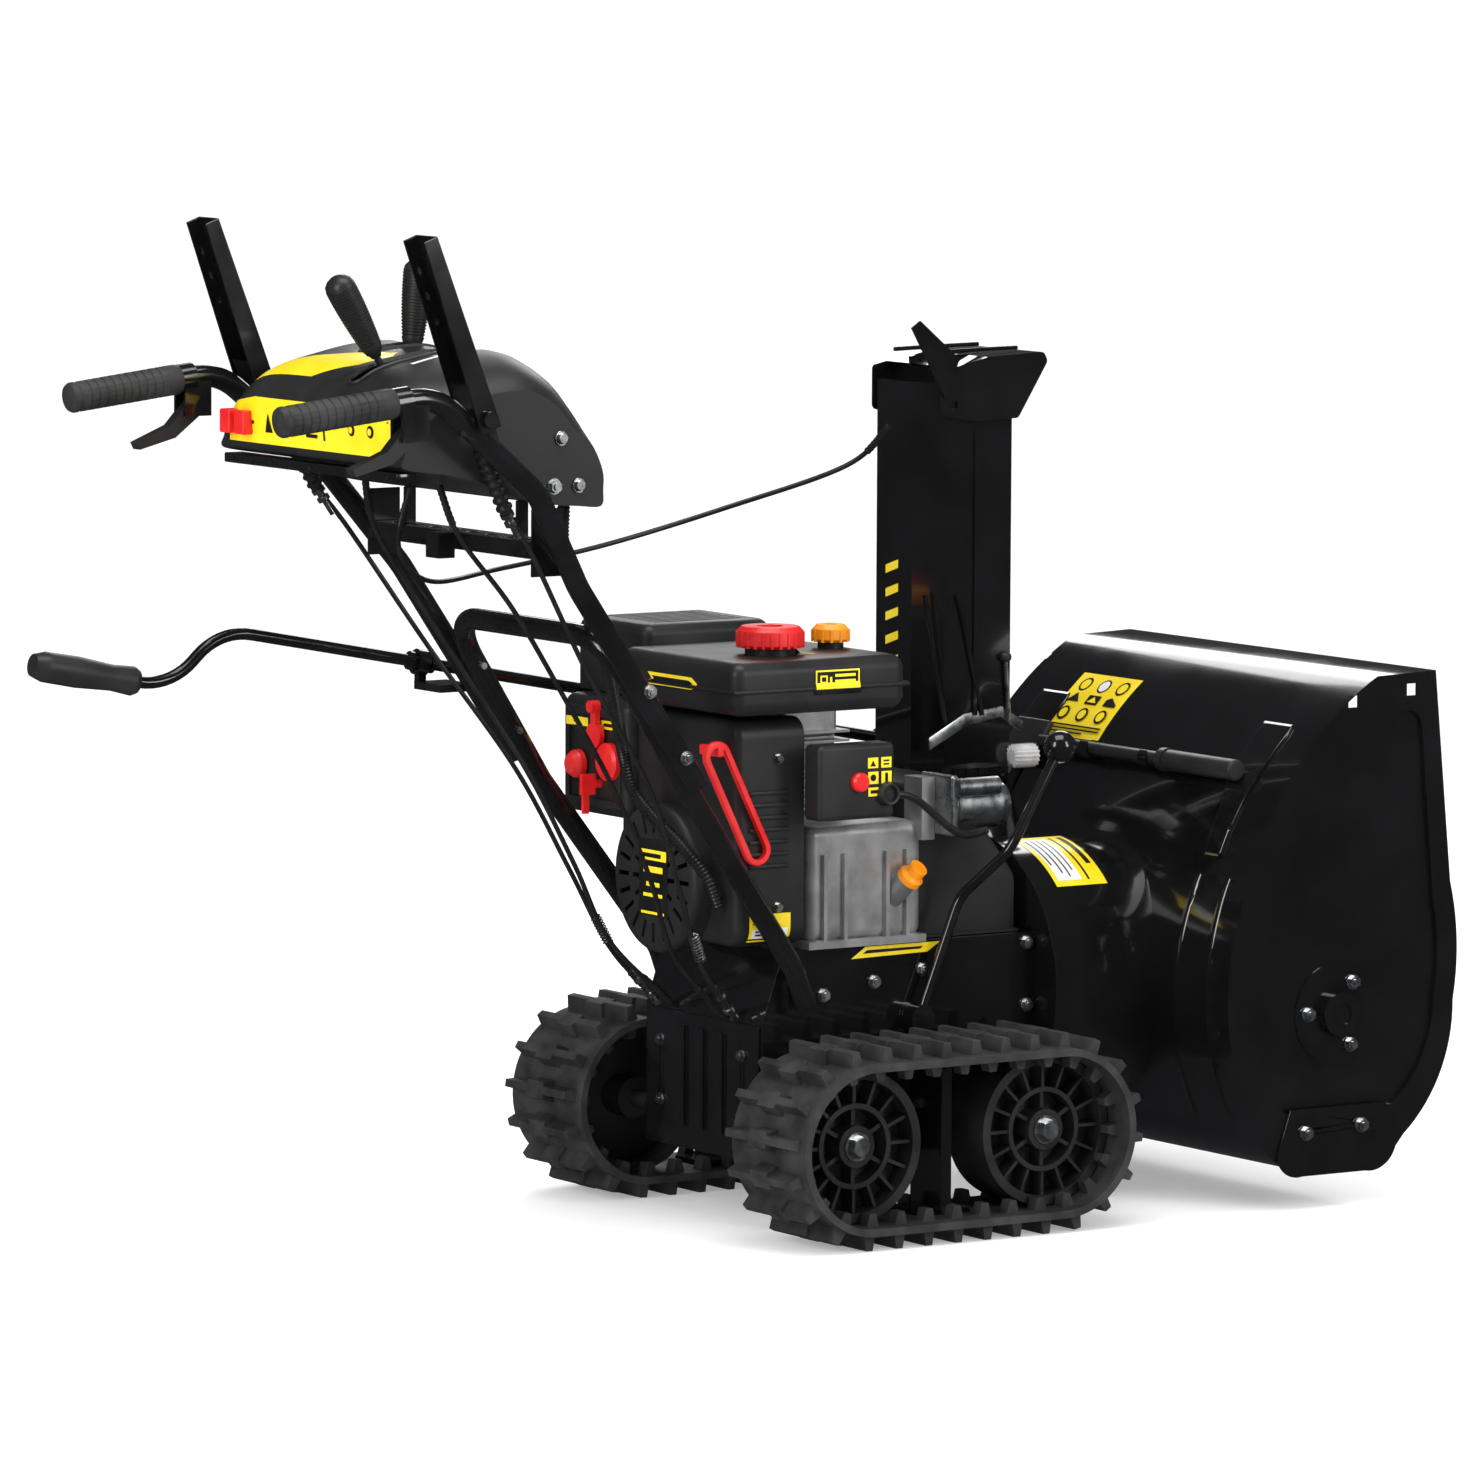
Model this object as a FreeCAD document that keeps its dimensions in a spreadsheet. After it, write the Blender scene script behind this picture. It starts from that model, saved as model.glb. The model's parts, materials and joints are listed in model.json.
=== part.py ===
"""Two stage snowblower on rubber tracks, as an assembly of separate pieces.

X points to the operator's right, Y points forward and Z up. The shapes are drawn
with Y = 0 at the rear track axle; every object's Placement then moves it back by
origin_y, so that the finished machine is centred over the origin and stands on Z = 0.
All lengths are in millimetres and come from the spreadsheet named Sizes.
"""

import FreeCAD, Part
import math
import os

import Sketcher
from FreeCAD import Placement, Rotation, Vector

SIZES = (
    ("origin_y", 29.476),
    # tracks
    ("wheelbase", 261.0), ("track_x", 235.0), ("track_width", 150.0),
    ("belt_inner_radius", 89.0), ("belt_thick", 9.0), ("lug_count", 28.0), ("lug_long", 17.0),
    ("lug_span", 130.0), ("guide_lug_high", 14.0), ("guide_lug_wide", 16.0),
    ("wheel_gap", 1.5), ("wheel_back", 40.0), ("wheel_face", 33.0), ("wheel_web", 4.0),
    ("wheel_rim", 11.0), ("wheel_ring_radius", 46.0), ("wheel_hub_radius", 24.0),
    ("axle_radius", 10.0), ("running_clearance", 0.08), ("beam_x", 141.0), ("beam_thick", 6.0),
    ("beam_high", 34.0), ("transmission_half", 60.0), ("cross_tube_z", 52.0), ("cross_tube_radius", 9.0),
    # chassis
    ("case_half_width", 122.0), ("case_rear_y", -32.0), ("case_front_y", 345.0), ("case_bottom_z", 78.0),
    ("deck_z", 322.0), ("case_rear_top_z", 240.0), ("sheet_thick", 3.0), ("deck_front_y", 192.0),
    # auger housing
    ("housing_width", 610.0), ("plate_thick", 2.5), ("pan_depth", 8.0), ("flange_thick", 4.0),
    ("auger_y", 651.0), ("auger_z", 226.0), ("auger_radius", 150.0), ("auger_shaft_radius", 13.0),
    ("flight_wide", 46.0), ("flight_thick", 4.0), ("gearbox_half_width", 38.0),
    ("scraper_top_z", 48.0), ("scraper_wide", 58.0), ("scraper_thick", 4.0), ("skid_thick", 4.0),
    ("flange_bolt_circle", 42.0),
    # impeller and its drum
    ("drum_radius", 160.0), ("impeller_z", 258.0), ("impeller_gap", 10.0), ("impeller_long", 96.0),
    ("impeller_shaft_radius", 10.0), ("auger_pulley_radius", 92.0),
    # chute
    ("chute_x", -125.0), ("chute_y", 390.0), ("chute_base_z", 488.0), ("collar_radius", 70.0),
    ("chute_half_width", 65.0), ("chute_back", 76.0), ("chute_front", 46.0), ("chute_chamfer", 28.0),
    ("chute_top_z", 950.0), ("chute_wall", 2.5), ("ring_gear_radius", 88.0), ("ring_gear_thick", 9.0),
    ("ring_gear_teeth", 36.0), ("hood_pivot_z", 950.0), ("hood_reach", 146.0), ("hood_gap", 2.0),
    # crank
    ("crank_radius", 7.0), ("crank_drop", 74.0), ("worm_radius", 14.0), ("crank_grip_long", 128.0),
    # engine
    ("crank_axis_z", 400.0), ("engine_right_x", 130.0), ("engine_rear_y", -76.0), ("shroud_depth", 112.0),
    ("shroud_wall", 3.0), ("recoil_radius", 81.0), ("engine_pulley_radius", 38.0),
    ("tank_left_x", -78.0), ("tank_long", 236.0), ("tank_bottom_z", 598.0), ("tank_high", 62.0),
    ("guard_left_x", -234.0), ("fuel_cap_radius", 38.0), ("oil_cap_radius", 21.0),
    ("starter_radius", 30.0), ("starter_long", 104.0), ("switch_box_long", 104.0),
    # handles and console
    ("tube_radius", 12.5), ("grip_radius", 17.0), ("grip_long", 146.0), ("grip_x", 236.0),
    ("leg_x", 165.0), ("grip_end_y", -736.0), ("grip_end_z", 957.0), ("console_half_width", 196.0),
    ("console_wall", 3.0), ("lever_pivot_y", -486.0), ("lever_pivot_z", 954.0), ("lever_gap", 1.5),
    ("lever_plate", 2.5), ("lever_bolt_radius", 5.0), ("ball_radius", 19.0), ("height_rod_radius", 6.0),
    ("lever_stem_radius", 5.0), ("knob_radius", 19.0), ("knob_long", 98.0),
    # cables
    ("cable_radius", 3.0), ("harness_radius", 7.5),
)

DOC = FreeCAD.newDocument("TwoStageSnowblower")
SHEET = DOC.addObject("Spreadsheet::Sheet", "Sizes")
for row, (alias, value) in enumerate(SIZES, start=1):
    SHEET.set(f"A{row}", alias)
    SHEET.set(f"B{row}", str(value))
    SHEET.setAlias(f"B{row}", alias)
DOC.recompute()


class Sizes:
    """Reads a driving dimension from the spreadsheet: S.track_x."""

    def __getattr__(self, alias):
        return float(SHEET.get(alias))


S = Sizes()
X, Y, Z = Vector(1, 0, 0), Vector(0, 1, 0), Vector(0, 0, 1)
SUBPARTS = []


# ---------------------------------------------------------------- document helpers
def feature(label, shape):
    """A Part::Feature holding a shape drawn with Part's own functions."""
    obj = DOC.addObject("Part::Feature", label)
    obj.Label = label
    obj.Shape = shape
    obj.Placement = Placement(Vector(0, -S.origin_y, 0), Rotation()).multiply(shape.Placement)
    SUBPARTS.append(obj)
    return obj


def place(obj, x, y, z, rotation=Rotation()):
    """Binds an object's Placement to the spreadsheet. x, y and z are expressions."""
    obj.Placement = Placement(Vector(), rotation)
    obj.setExpression(".Placement.Base.x", x)
    obj.setExpression(".Placement.Base.y", f"{y} - Sizes.origin_y")
    obj.setExpression(".Placement.Base.z", z)


def new_body(label):
    body = DOC.addObject("PartDesign::Body", label)
    body.Label = label
    SUBPARTS.append(body)
    return body


def new_sketch(body, role, name):
    """A sketch on one of the body's own origin planes."""
    sketch = body.newObject("Sketcher::SketchObject", name)
    plane = next(f for f in body.Origin.OriginFeatures if f.Role == role)
    sketch.AttachmentSupport = [(plane, "")]
    sketch.MapMode = "FlatFace"
    return sketch


def outline(sketch, corners):
    """Adds a closed polygon whose corners are pairs of expressions, each bound by two constraints."""
    count = len(corners)
    first = sketch.GeometryCount
    ring = [Vector(math.cos(math.tau * i / count), math.sin(math.tau * i / count),
                   0) * 50 for i in range(count)]
    for i in range(count):
        sketch.addGeometry(Part.LineSegment(ring[i], ring[(i + 1) % count]), False)
    for i in range(count):
        sketch.addConstraint(Sketcher.Constraint("Coincident", first + i, 2, first + (i + 1) % count, 1))
    for i, corner in enumerate(corners):
        for kind, expression, start in zip(("DistanceX", "DistanceY"), corner, ring[i][:2]):
            number = sketch.addConstraint(Sketcher.Constraint(kind, -1, 1, first + i, 1, start or 0.1))
            sketch.setExpression(f"Constraints[{number}]", expression)


def revolved(label, corners):
    """A body turned about its own Z axis from an outline of (radius, height) expressions."""
    body = new_body(label)
    sketch = new_sketch(body, "XZ_Plane", label + "_profile")
    outline(sketch, corners)
    turn = body.newObject("PartDesign::Revolution", label + "_turned")
    turn.Profile = sketch
    turn.ReferenceAxis = (sketch, ["V_Axis"])
    turn.Angle = 360
    body.Tip = turn
    return body


def ribbed(body, corners, height, count, name):
    """Pads an outline drawn in the body's XY plane and repeats it round the body's Z axis."""
    sketch = new_sketch(body, "XY_Plane", body.Label + name)
    outline(sketch, corners)
    pad = body.newObject("PartDesign::Pad", body.Label + name + "_pad")
    pad.Profile = sketch
    pad.setExpression("Length", height)
    body.Tip = pad
    DOC.recompute()
    pattern = body.newObject("PartDesign::PolarPattern", body.Label + name + "_ring")
    pattern.Originals = [pad]
    pattern.Axis = (sketch, ["N_Axis"])
    pattern.Angle = 360
    pattern.setExpression("Occurrences", count)
    body.Tip = pattern
    return pattern


# ---------------------------------------------------------------- shape helpers
def cylinder(radius, long, at, axis=Z):
    return Part.makeCylinder(radius, long, at, axis)


def bar(radius, start, end):
    return Part.makeCylinder(radius, (end - start).Length, start, end - start)


def block(x0, x1, y0, y1, z0, z1):
    return Part.makeBox(x1 - x0, y1 - y0, z1 - z0, Vector(x0, y0, z0))


def union(shapes):
    shapes = list(shapes)
    return shapes[0].multiFuse(shapes[1:]).removeSplitter() if len(shapes) > 1 else shapes[0]


def mirrored(shape):
    """The same shape on the machine's other side."""
    return shape.mirror(Vector(), X)


def both_sides(shape):
    return Part.makeCompound([shape, mirrored(shape)])


def turned(shape, degrees, about, axis=X):
    copy = shape.copy()
    copy.rotate(about, axis, degrees)
    return copy


def profile_wire(points):
    """A closed wire of straight runs and arcs. A pair of points is an arc's middle and end."""
    edges = []
    last = points[0]
    for point in list(points[1:]) + [points[0]]:
        if isinstance(point, tuple):
            edges.append(Part.Arc(last, point[0], point[1]).toShape())
            last = point[1]
        elif (point - last).Length > 1e-6:
            edges.append(Part.LineSegment(last, point).toShape())
            last = point
    return Part.Wire(edges)


def side_point(y, z, x=0.0):
    return Vector(x, y, z)


def side_prism(wire, x0, x1):
    """A wire drawn in the YZ plane at X = 0, as a solid from x0 to x1."""
    face = Part.Face(wire)
    face.translate(Vector(x0, 0, 0))
    return face.extrude(Vector(x1 - x0, 0, 0))


def polygon_prism(corners, x0, x1):
    return side_prism(profile_wire([side_point(y, z) for y, z in corners]), x0, x1)


def path_wire(points, bend_share=0.45, radius=None):
    """Straight runs joined by tangent arcs, each as large as its runs allow or as radius says."""
    edges = []
    start = points[0]
    for before, corner, after in zip(points, points[1:], points[2:]):
        toward, away = (before - corner), (after - corner)
        run = min(toward.Length, away.Length)
        toward.normalize()
        away.normalize()
        turn = math.pi - toward.getAngle(away)
        if turn < 1e-3:
            continue
        size = bend_share * run / math.tan(turn / 2)
        if radius is not None:
            size = min(size, radius)
        setback = size * math.tan(turn / 2)
        enter, leave = corner + toward * setback, corner + away * setback
        middle_way = (toward + away).normalize()
        middle = corner + middle_way * (size / math.cos(turn / 2) - size)
        if (enter - start).Length > 1e-6:
            edges.append(Part.LineSegment(start, enter).toShape())
        edges.append(Part.Arc(enter, middle, leave).toShape())
        start = leave
    edges.append(Part.LineSegment(start, points[-1]).toShape())
    return Part.Wire(edges)


def round_sweep(wire, radius):
    """A round bar along a wire."""
    start = wire.Vertexes[0].Point
    tangent = wire.Edges[0].tangentAt(wire.Edges[0].FirstParameter)
    ring = Part.Wire(Part.makeCircle(radius, start, tangent))
    return Part.Wire(wire).makePipeShell([ring], True, False)


def tube(wire, radius, wall):
    return round_sweep(wire, radius).cut(round_sweep(wire, radius - wall))


def rounded(shape, radius, chosen=None):
    """Fillets the chosen edges, or all of them, with a radius held under the shape's own size."""
    edges = [e for e in shape.Edges if chosen is None or chosen(e)]
    limit = 0.45 * min(shape.BoundBox.XLength, shape.BoundBox.YLength, shape.BoundBox.ZLength)
    return shape.makeFillet(min(radius, limit), edges)


def upright(edge):
    """True for a straight edge along Z."""
    direction = edge.tangentAt(edge.FirstParameter)
    return isinstance(edge.Curve, Part.Line) and abs(direction.z) > 0.99


def bolt(at, axis, radius=4.0, stem=6.0):
    """A hexagon head on a washer, seated on the point at, with a stub of its shank behind it."""
    axis = Vector(axis).normalize()
    washer = cylinder(radius * 2.0, radius * 0.35, at, axis)
    corners = [Vector(math.cos(math.tau * i / 6), math.sin(math.tau * i / 6),
                      0) * radius * 1.65 for i in range(6)]
    head = Part.Face(Part.makePolygon(corners + corners[:1])).extrude(Z * radius * 1.2)
    head.Placement = Placement(at + axis * radius * 0.35, Rotation(Z, axis))
    tip = cylinder(radius * 0.9, radius * 0.5, at + axis * radius * 1.55, axis)
    shank = cylinder(radius, stem, at - axis * stem, axis)
    return union([washer, head, tip, shank])


# ---------------------------------------------------------------- fasteners
def bolt_places():
    """Every bolt as its seat, the way its head faces, and its shank radius and length."""
    side, case = S.housing_width / 2, S.case_half_width
    places = []
    for y, z in ((51, 268), (121, 279), (188, 289), (334, 311), (343 - 8, 238), (60, 130), (310, 130)):
        places.append((Vector(case, y, z), X, 4.0, 8.0))
    for angle in (58, 178, 298):
        offset = Vector(0, math.cos(math.radians(angle)),
                        math.sin(math.radians(angle))) * S.flange_bolt_circle
        floor = side - S.pan_depth + S.flange_thick
        places.append((Vector(floor, S.auger_y, S.auger_z) + offset, X, 4.5, 8.0))
    for y, z in skid_slots():
        places.append((Vector(side + S.skid_thick, y, z), X, 4.5, 10.0))
    for y, z in handle_bolts():
        places.append((Vector(S.leg_x + 3 * S.tube_radius + 0.4, y, z), X, 4.0, 56.0))
    for y, z in ((-438, 912), (-362, 872)):
        places.append((Vector(S.console_half_width, y, z), X, 4.5, 6.0))
    places += [(Vector(-at.x, at.y, at.z), -axis, radius, stem) for at, axis, radius, stem in places]
    for x in (-200, -90, 90, 200):
        places.append((Vector(x, S.auger_y + 22, S.scraper_top_z + S.plate_thick), Z, 4.0, 12.0))
    for x in (-85, 85):
        for z in (130, 200):
            places.append((Vector(x, S.case_rear_y - S.sheet_thick, z), -Y, 3.5, 8.0))
    return places


def skid_slots():
    return ((602, 90), (682, 94))


def handle_bolts():
    return ((-239, 638), (-190, 561))


def drilled(shape):
    """Opens the bolt holes that pass through a shape."""
    box = shape.BoundBox
    box.enlarge(1)
    shanks = [cylinder(radius + 0.05, stem + 1, at + Vector(axis) * 0.5, Vector(axis) * -1)
              for at, axis, radius, stem in bolt_places()]
    near = [shank for shank in shanks if box.intersect(shank.BoundBox)]
    return shape.cut(near) if near else shape


def fasteners():
    bolts = [bolt(at, axis, radius, stem) for at, axis, radius, stem in bolt_places()]
    feature("fasteners", Part.makeCompound(bolts))


# ---------------------------------------------------------------- tracks
def axle_height():
    return S.belt_inner_radius + S.belt_thick + S.lug_long


AXLE_Z = "Sizes.belt_inner_radius + Sizes.belt_thick + Sizes.lug_long"


def loop_wire(radius):
    """A closed outline round both axles."""
    rear, front = side_point(0, axle_height()), side_point(S.wheelbase, axle_height())
    return profile_wire([rear + Z * radius, front + Z * radius, (front + Y * radius, front - Z * radius),
                         rear - Z * radius, (rear - Y * radius, rear + Z * radius)])


def loop_station(distance, radius):
    """The point on that outline a distance along it, and the way out of the loop there."""
    half = S.wheelbase + math.pi * radius
    side = 1 if distance % (2 * half) < half else -1
    distance %= half
    start = side_point(0 if side > 0 else S.wheelbase, axle_height())
    if distance < S.wheelbase:
        return start + Y * (side * distance) + Z * (side * radius), Z * side
    angle = (distance - S.wheelbase) / radius
    out = Z * (side * math.cos(angle)) + Y * (side * math.sin(angle))
    return start + Y * (side * S.wheelbase) + out * radius, out


def lug(width, base, tip, high, x):
    """A tapered lug standing on Z = 0, sunk a little to join the belt."""
    corners = ((-base / 2, -1.0), (base / 2, -1.0), (tip / 2, high), (-tip / 2, high))
    return polygon_prism(corners, x - width / 2, x + width / 2)


def track_belt():
    belt = side_prism(loop_wire(S.belt_inner_radius + S.belt_thick), -S.track_width / 2, S.track_width / 2)
    belt = belt.cut(side_prism(loop_wire(S.belt_inner_radius), -S.track_width, S.track_width))
    outer_radius = S.belt_inner_radius + S.belt_thick
    length = 2 * (S.wheelbase + math.pi * outer_radius)
    inner_length = 2 * (S.wheelbase + math.pi * S.belt_inner_radius)
    guide_x = ((S.wheel_face + 3 + S.guide_lug_wide / 2), -(S.wheel_back + 3 + S.guide_lug_wide / 2))
    lugs = []
    for i in range(int(S.lug_count)):
        at, out = loop_station(length * (i + 0.5) / S.lug_count, outer_radius)
        tread = [lug(S.lug_span, 15, 9, S.lug_long, 0), lug(34, 26, 20, S.lug_long, 0)]
        lugs += [moved(piece, at, facing(out)) for piece in tread]
        at, out = loop_station(inner_length * (i + 0.5) / S.lug_count, S.belt_inner_radius)
        guides = [lug(S.guide_lug_wide, 17, 9, S.guide_lug_high, x) for x in guide_x]
        lugs += [moved(piece, at, facing(out * -1)) for piece in guides]
    reach = side_prism(loop_wire(outer_radius + S.lug_long), -S.track_width, S.track_width)
    return belt.multiFuse(lugs).common(reach)


def facing(out):
    """The turn about X that points Z along out."""
    return Rotation(X, math.degrees(math.atan2(-out.y, out.z)))


def moved(shape, at, rotation):
    copy = shape.copy()
    copy.Placement = Placement(at, rotation).multiply(copy.Placement)
    return copy


def track_beams():
    """A plate inside each belt with an idler pin and a slide rail, joined by a tube under the case."""
    height = axle_height()
    half = S.beam_high / 2
    wire = profile_wire([side_point(0, height + half), side_point(S.wheelbase, height + half),
                         (side_point(S.wheelbase + half, height), side_point(S.wheelbase, height - half)),
                         side_point(0, height - half),
                         (side_point(-half, height), side_point(0, height + half))])
    plate = side_prism(wire, S.beam_x, S.beam_x + S.beam_thick)
    middle = S.wheelbase / 2
    pin = cylinder(S.axle_radius, S.track_x + S.wheel_face + 5 - S.beam_x,
                   Vector(S.beam_x, S.wheelbase, height), X)
    spacer = cylinder(16, S.track_x - S.wheel_back - 1 - S.beam_x, Vector(S.beam_x, S.wheelbase, height), X)
    inner = S.belt_inner_radius
    rail_x = S.track_x - S.wheel_back
    rail = block(rail_x, S.track_x + 22, middle - 34, middle + 34, height - inner, height - inner + 6)
    post = block(rail_x, S.track_x + 22, middle - 7, middle + 7, height - inner, height + inner)
    top = block(rail_x, S.track_x + 22, middle - 26, middle + 26, height + inner - 6, height + inner)
    arm = block(S.beam_x, rail_x + 4, middle - 7, middle + 7, height - 14, height + 14)
    strut_y = middle + 40
    strut = block(S.beam_x, S.beam_x + S.beam_thick, strut_y - 12, strut_y + 12, S.cross_tube_z, height)
    cross = cylinder(S.cross_tube_radius, 2 * S.beam_x + 2,
                     Vector(-S.beam_x - 1, strut_y, S.cross_tube_z), X)
    side = union([plate, pin, spacer, rail, post, top, arm, strut])
    side = side.cut(cylinder(S.axle_radius + S.running_clearance, 40, Vector(S.beam_x - 10, 0, height), X))
    feature("track_beams", union([side, mirrored(side), cross]))


def wheel_profile(wheel_radius, axle_corners):
    """The wheel's section as (radius, height) expressions; height runs outward from the belt."""
    rim = f"{wheel_radius} - Sizes.wheel_rim"
    ring_in, ring_out = "Sizes.wheel_ring_radius - 3", "Sizes.wheel_ring_radius + 3"
    hub = "Sizes.wheel_hub_radius"
    back, face, web = "-Sizes.wheel_back", "Sizes.wheel_face", "Sizes.wheel_web"
    start, end = axle_corners
    return start + [(hub, back), (hub, "-" + web), (rim, "-" + web), (rim, back), (wheel_radius, back),
                    (wheel_radius, face), (rim, face), (rim, web), (ring_out, web),
                    (ring_out, face + " - 4"),
                    (ring_in, face + " - 4"), (ring_in, web), (hub, web), (hub, face)] + end


def track_wheel(label, side, axle_corners, y):
    radius = "(Sizes.belt_inner_radius - Sizes.wheel_gap)"
    body = revolved(label, wheel_profile(radius, axle_corners))
    rim_in, ring = f"{radius} - Sizes.wheel_rim + 2", "Sizes.wheel_ring_radius"
    outer = [(ring, "-2"), (rim_in, "-2"), (rim_in, "2"), (ring, "2")]
    ribbed(body, outer, "Sizes.wheel_face - 6", "16", "_outer_ribs")
    hub = "Sizes.wheel_hub_radius - 2"
    inner = [(hub, "-2.5"), (ring, "-2.5"), (ring, "2.5"), (hub, "2.5")]
    ribbed(body, inner, "Sizes.wheel_face - 8", "6", "_inner_ribs")
    place(body, f"{side} * Sizes.track_x", y, AXLE_Z, Rotation(Y, 90 * side))


def sprockets_and_idlers():
    axle_end = "-(Sizes.track_x - Sizes.transmission_half + 20)"
    solid = ([("0", axle_end), ("Sizes.axle_radius", axle_end), ("Sizes.axle_radius", "-Sizes.wheel_back")],
             [("0", "Sizes.wheel_face")])
    bore = "Sizes.axle_radius + Sizes.running_clearance"
    bored = ([(bore, "-Sizes.wheel_back")], [(bore, "Sizes.wheel_face")])
    for name, side in (("left", -1), ("right", 1)):
        track_wheel(name + "_sprocket", side, solid, "0")
        track_wheel(name + "_idler", side, bored, "Sizes.wheelbase")


# ---------------------------------------------------------------- chassis
def case_corners(inset=0.0):
    rear, front, bottom, top = S.case_rear_y, S.case_front_y, S.case_bottom_z, S.deck_z
    return ((rear + inset, bottom + inset), (front - inset, bottom + inset), (front - inset, top - inset),
            (rear + 28 + inset * 0.7, top - inset), (rear + inset, S.case_rear_top_z - inset * 0.3))


def chassis_case():
    wall, half = S.sheet_thick, S.case_half_width
    shell = polygon_prism(case_corners(), -half,
                          half).cut(polygon_prism(case_corners(wall), wall - half, half - wall))
    pulley_well = block(-half + wall + 8, half - wall - 8, S.deck_front_y, S.case_front_y - wall - 4,
                        200, 400)
    rear_window = block(-half + 12, half - 12, S.case_rear_y - 5, S.case_rear_y + wall, 95, 228)
    axle = cylinder(S.axle_radius + 1.0, 400, Vector(-200, 0, axle_height()), X)
    shaft = cylinder(S.impeller_shaft_radius + 1.5, 60, Vector(0, S.case_front_y - 30, S.impeller_z), Y)
    bracket_hole = cylinder(9 + S.running_clearance, 20, lever_pivot() - X * 10, X)
    pad = cylinder(17, 6, lever_pivot() - X * 6, X)
    shell = shell.cut(union([pulley_well])).cut(rear_window).cut(axle).cut(shaft)
    shell = union([shell, pad]).cut(bracket_hole)
    feature("chassis_case", drilled(shell))


def lever_pivot():
    return Vector(S.case_half_width + 6, 173, 235)


def rear_cover():
    thick, rear, half = S.sheet_thick, S.case_rear_y, S.case_half_width - 4
    plate = block(-half, half, rear - thick, rear, 86, 236)
    rib = union([block(x - 8, x + 8, rear - thick - 4, rear - thick, 104, 222) for x in (-40, 0, 40)])
    feature("rear_cover", drilled(plate.fuse(rib)))


def transmission():
    """The gear case between the drive shafts, with the input shaft and friction disc ahead of it."""
    half, height = S.transmission_half, axle_height()
    case = rounded(block(-half, half, -26, 70, height - 30, height + 82), 10)
    disc = cylinder(62, 8, Vector(0, 92, height + 62), Y)
    shaft = cylinder(9, 24, Vector(0, 69, height + 62), Y)
    bore = S.axle_radius + S.running_clearance
    bores = [cylinder(bore, 21 + 40, Vector(side * (half - 20.5), 0, height), X * side) for side in (-1, 1)]
    feature("transmission", union([case, disc, shaft]).cut(bores[0]).cut(bores[1]))


# ---------------------------------------------------------------- auger housing
def scoop_wire():
    """The housing's section: a flat strip at the top, a curved back and a flat floor."""
    return profile_wire([
        side_point(787, 621), side_point(702, 618), (side_point(588, 520), side_point(524, 392)),
        (side_point(491, 240), side_point(536, 92)), (side_point(556, 62), side_point(588, 48)),
        side_point(676, 48)])


def side_plate_wire():
    return profile_wire([
        side_point(787, 621), side_point(702, 618), (side_point(588, 520), side_point(524, 392)),
        (side_point(491, 240), side_point(536, 92)), (side_point(556, 62), side_point(588, 48)),
        side_point(722, 48), side_point(748, 78), (side_point(800, 145), side_point(818, 232)),
        (side_point(823, 300), side_point(812, 372))])


def recess_wire():
    return profile_wire([
        side_point(770, 560), (side_point(752, 578), side_point(728, 570)),
        (side_point(600, 440), side_point(540, 290)),
        (side_point(530, 200), side_point(560, 130)), (side_point(574, 112), side_point(600, 112)),
        side_point(730, 112), (side_point(772, 160), side_point(792, 238)),
        (side_point(797, 290), side_point(790, 350))])


def offset_face(wire, distance):
    return Part.Face(wire).makeOffset2D(distance, 0)


def face_prism(face, x0, x1):
    copy = face.copy()
    copy.translate(Vector(x0, 0, 0))
    return copy.extrude(Vector(x1 - x0, 0, 0))


def auger_housing_shell():
    half, thick = S.housing_width / 2 - S.plate_thick, S.plate_thick
    outer = side_prism(scoop_wire(), -half, half)
    inner = face_prism(offset_face(scoop_wire(), -thick), -half - 1, half + 1)
    front = polygon_prism(((702, 618 - thick), (900, 700), (900, 40), (676 - 1, 48 + thick),
                           (588, 48 + thick),
                           (556, 110), (540, 392), (600, 480)), -half - 1, half + 1)
    shell = outer.cut(inner)
    shell = shell.cut(front.common(block(-400, 400, 560, 900, 48 + thick, 618 - 2 * thick)))
    shell = shell.cut(cylinder(S.drum_radius - S.plate_thick, 260, Vector(0, 400, S.impeller_z), Y))
    beads = [stamped_bead(side * x, lean * side) for side in (-1, 1) for x, lean in ((205, 12), (262, 0))]
    shell = shell.multiFuse(beads + tool_clips())
    feature("auger_housing_shell", drilled(shell))


def stamped_bead(x, lean):
    """A raised vertical rib on the housing's back."""
    wire = Part.Wire([Part.Arc(Vector(x, 527, 385), Vector(x - lean / 2, 494 + 5, 240),
                               Vector(x - lean, 533, 110)).toShape()])
    return round_sweep(wire, 9).cut(face_prism(offset_face(scoop_wire(), -1.0), -400, 400))


def side_plate():
    outer_x = S.housing_width / 2
    thick, depth = S.plate_thick, S.pan_depth
    recess = side_prism(recess_wire(), outer_x - thick - 1, outer_x + 1)
    plate = side_prism(side_plate_wire(), outer_x - thick, outer_x).cut(recess)
    wall = side_prism(recess_wire(), outer_x - depth, outer_x)
    wall = wall.cut(face_prism(offset_face(recess_wire(), -thick), outer_x - depth + thick, outer_x + 1))
    boss = cylinder(60, S.flange_thick, Vector(outer_x - depth, S.auger_y, S.auger_z), X)
    plate = union([plate, wall, boss])
    bearing = cylinder(26, 24, Vector(outer_x - depth - 8, S.auger_y, S.auger_z), X)
    plate = plate.fuse(bearing)
    bore = cylinder(S.auger_shaft_radius + S.running_clearance, 60,
                    Vector(outer_x - 30, S.auger_y, S.auger_z), X)
    holes = [block(outer_x - 20, outer_x + 5, y - 7, y + 7, z - 7, z + 7) for y,
             z in ((667, 590), (752, 600))]
    plate = plate.cut(bore)
    for hole in holes:
        plate = plate.cut(hole)
    return drilled(plate)


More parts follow.
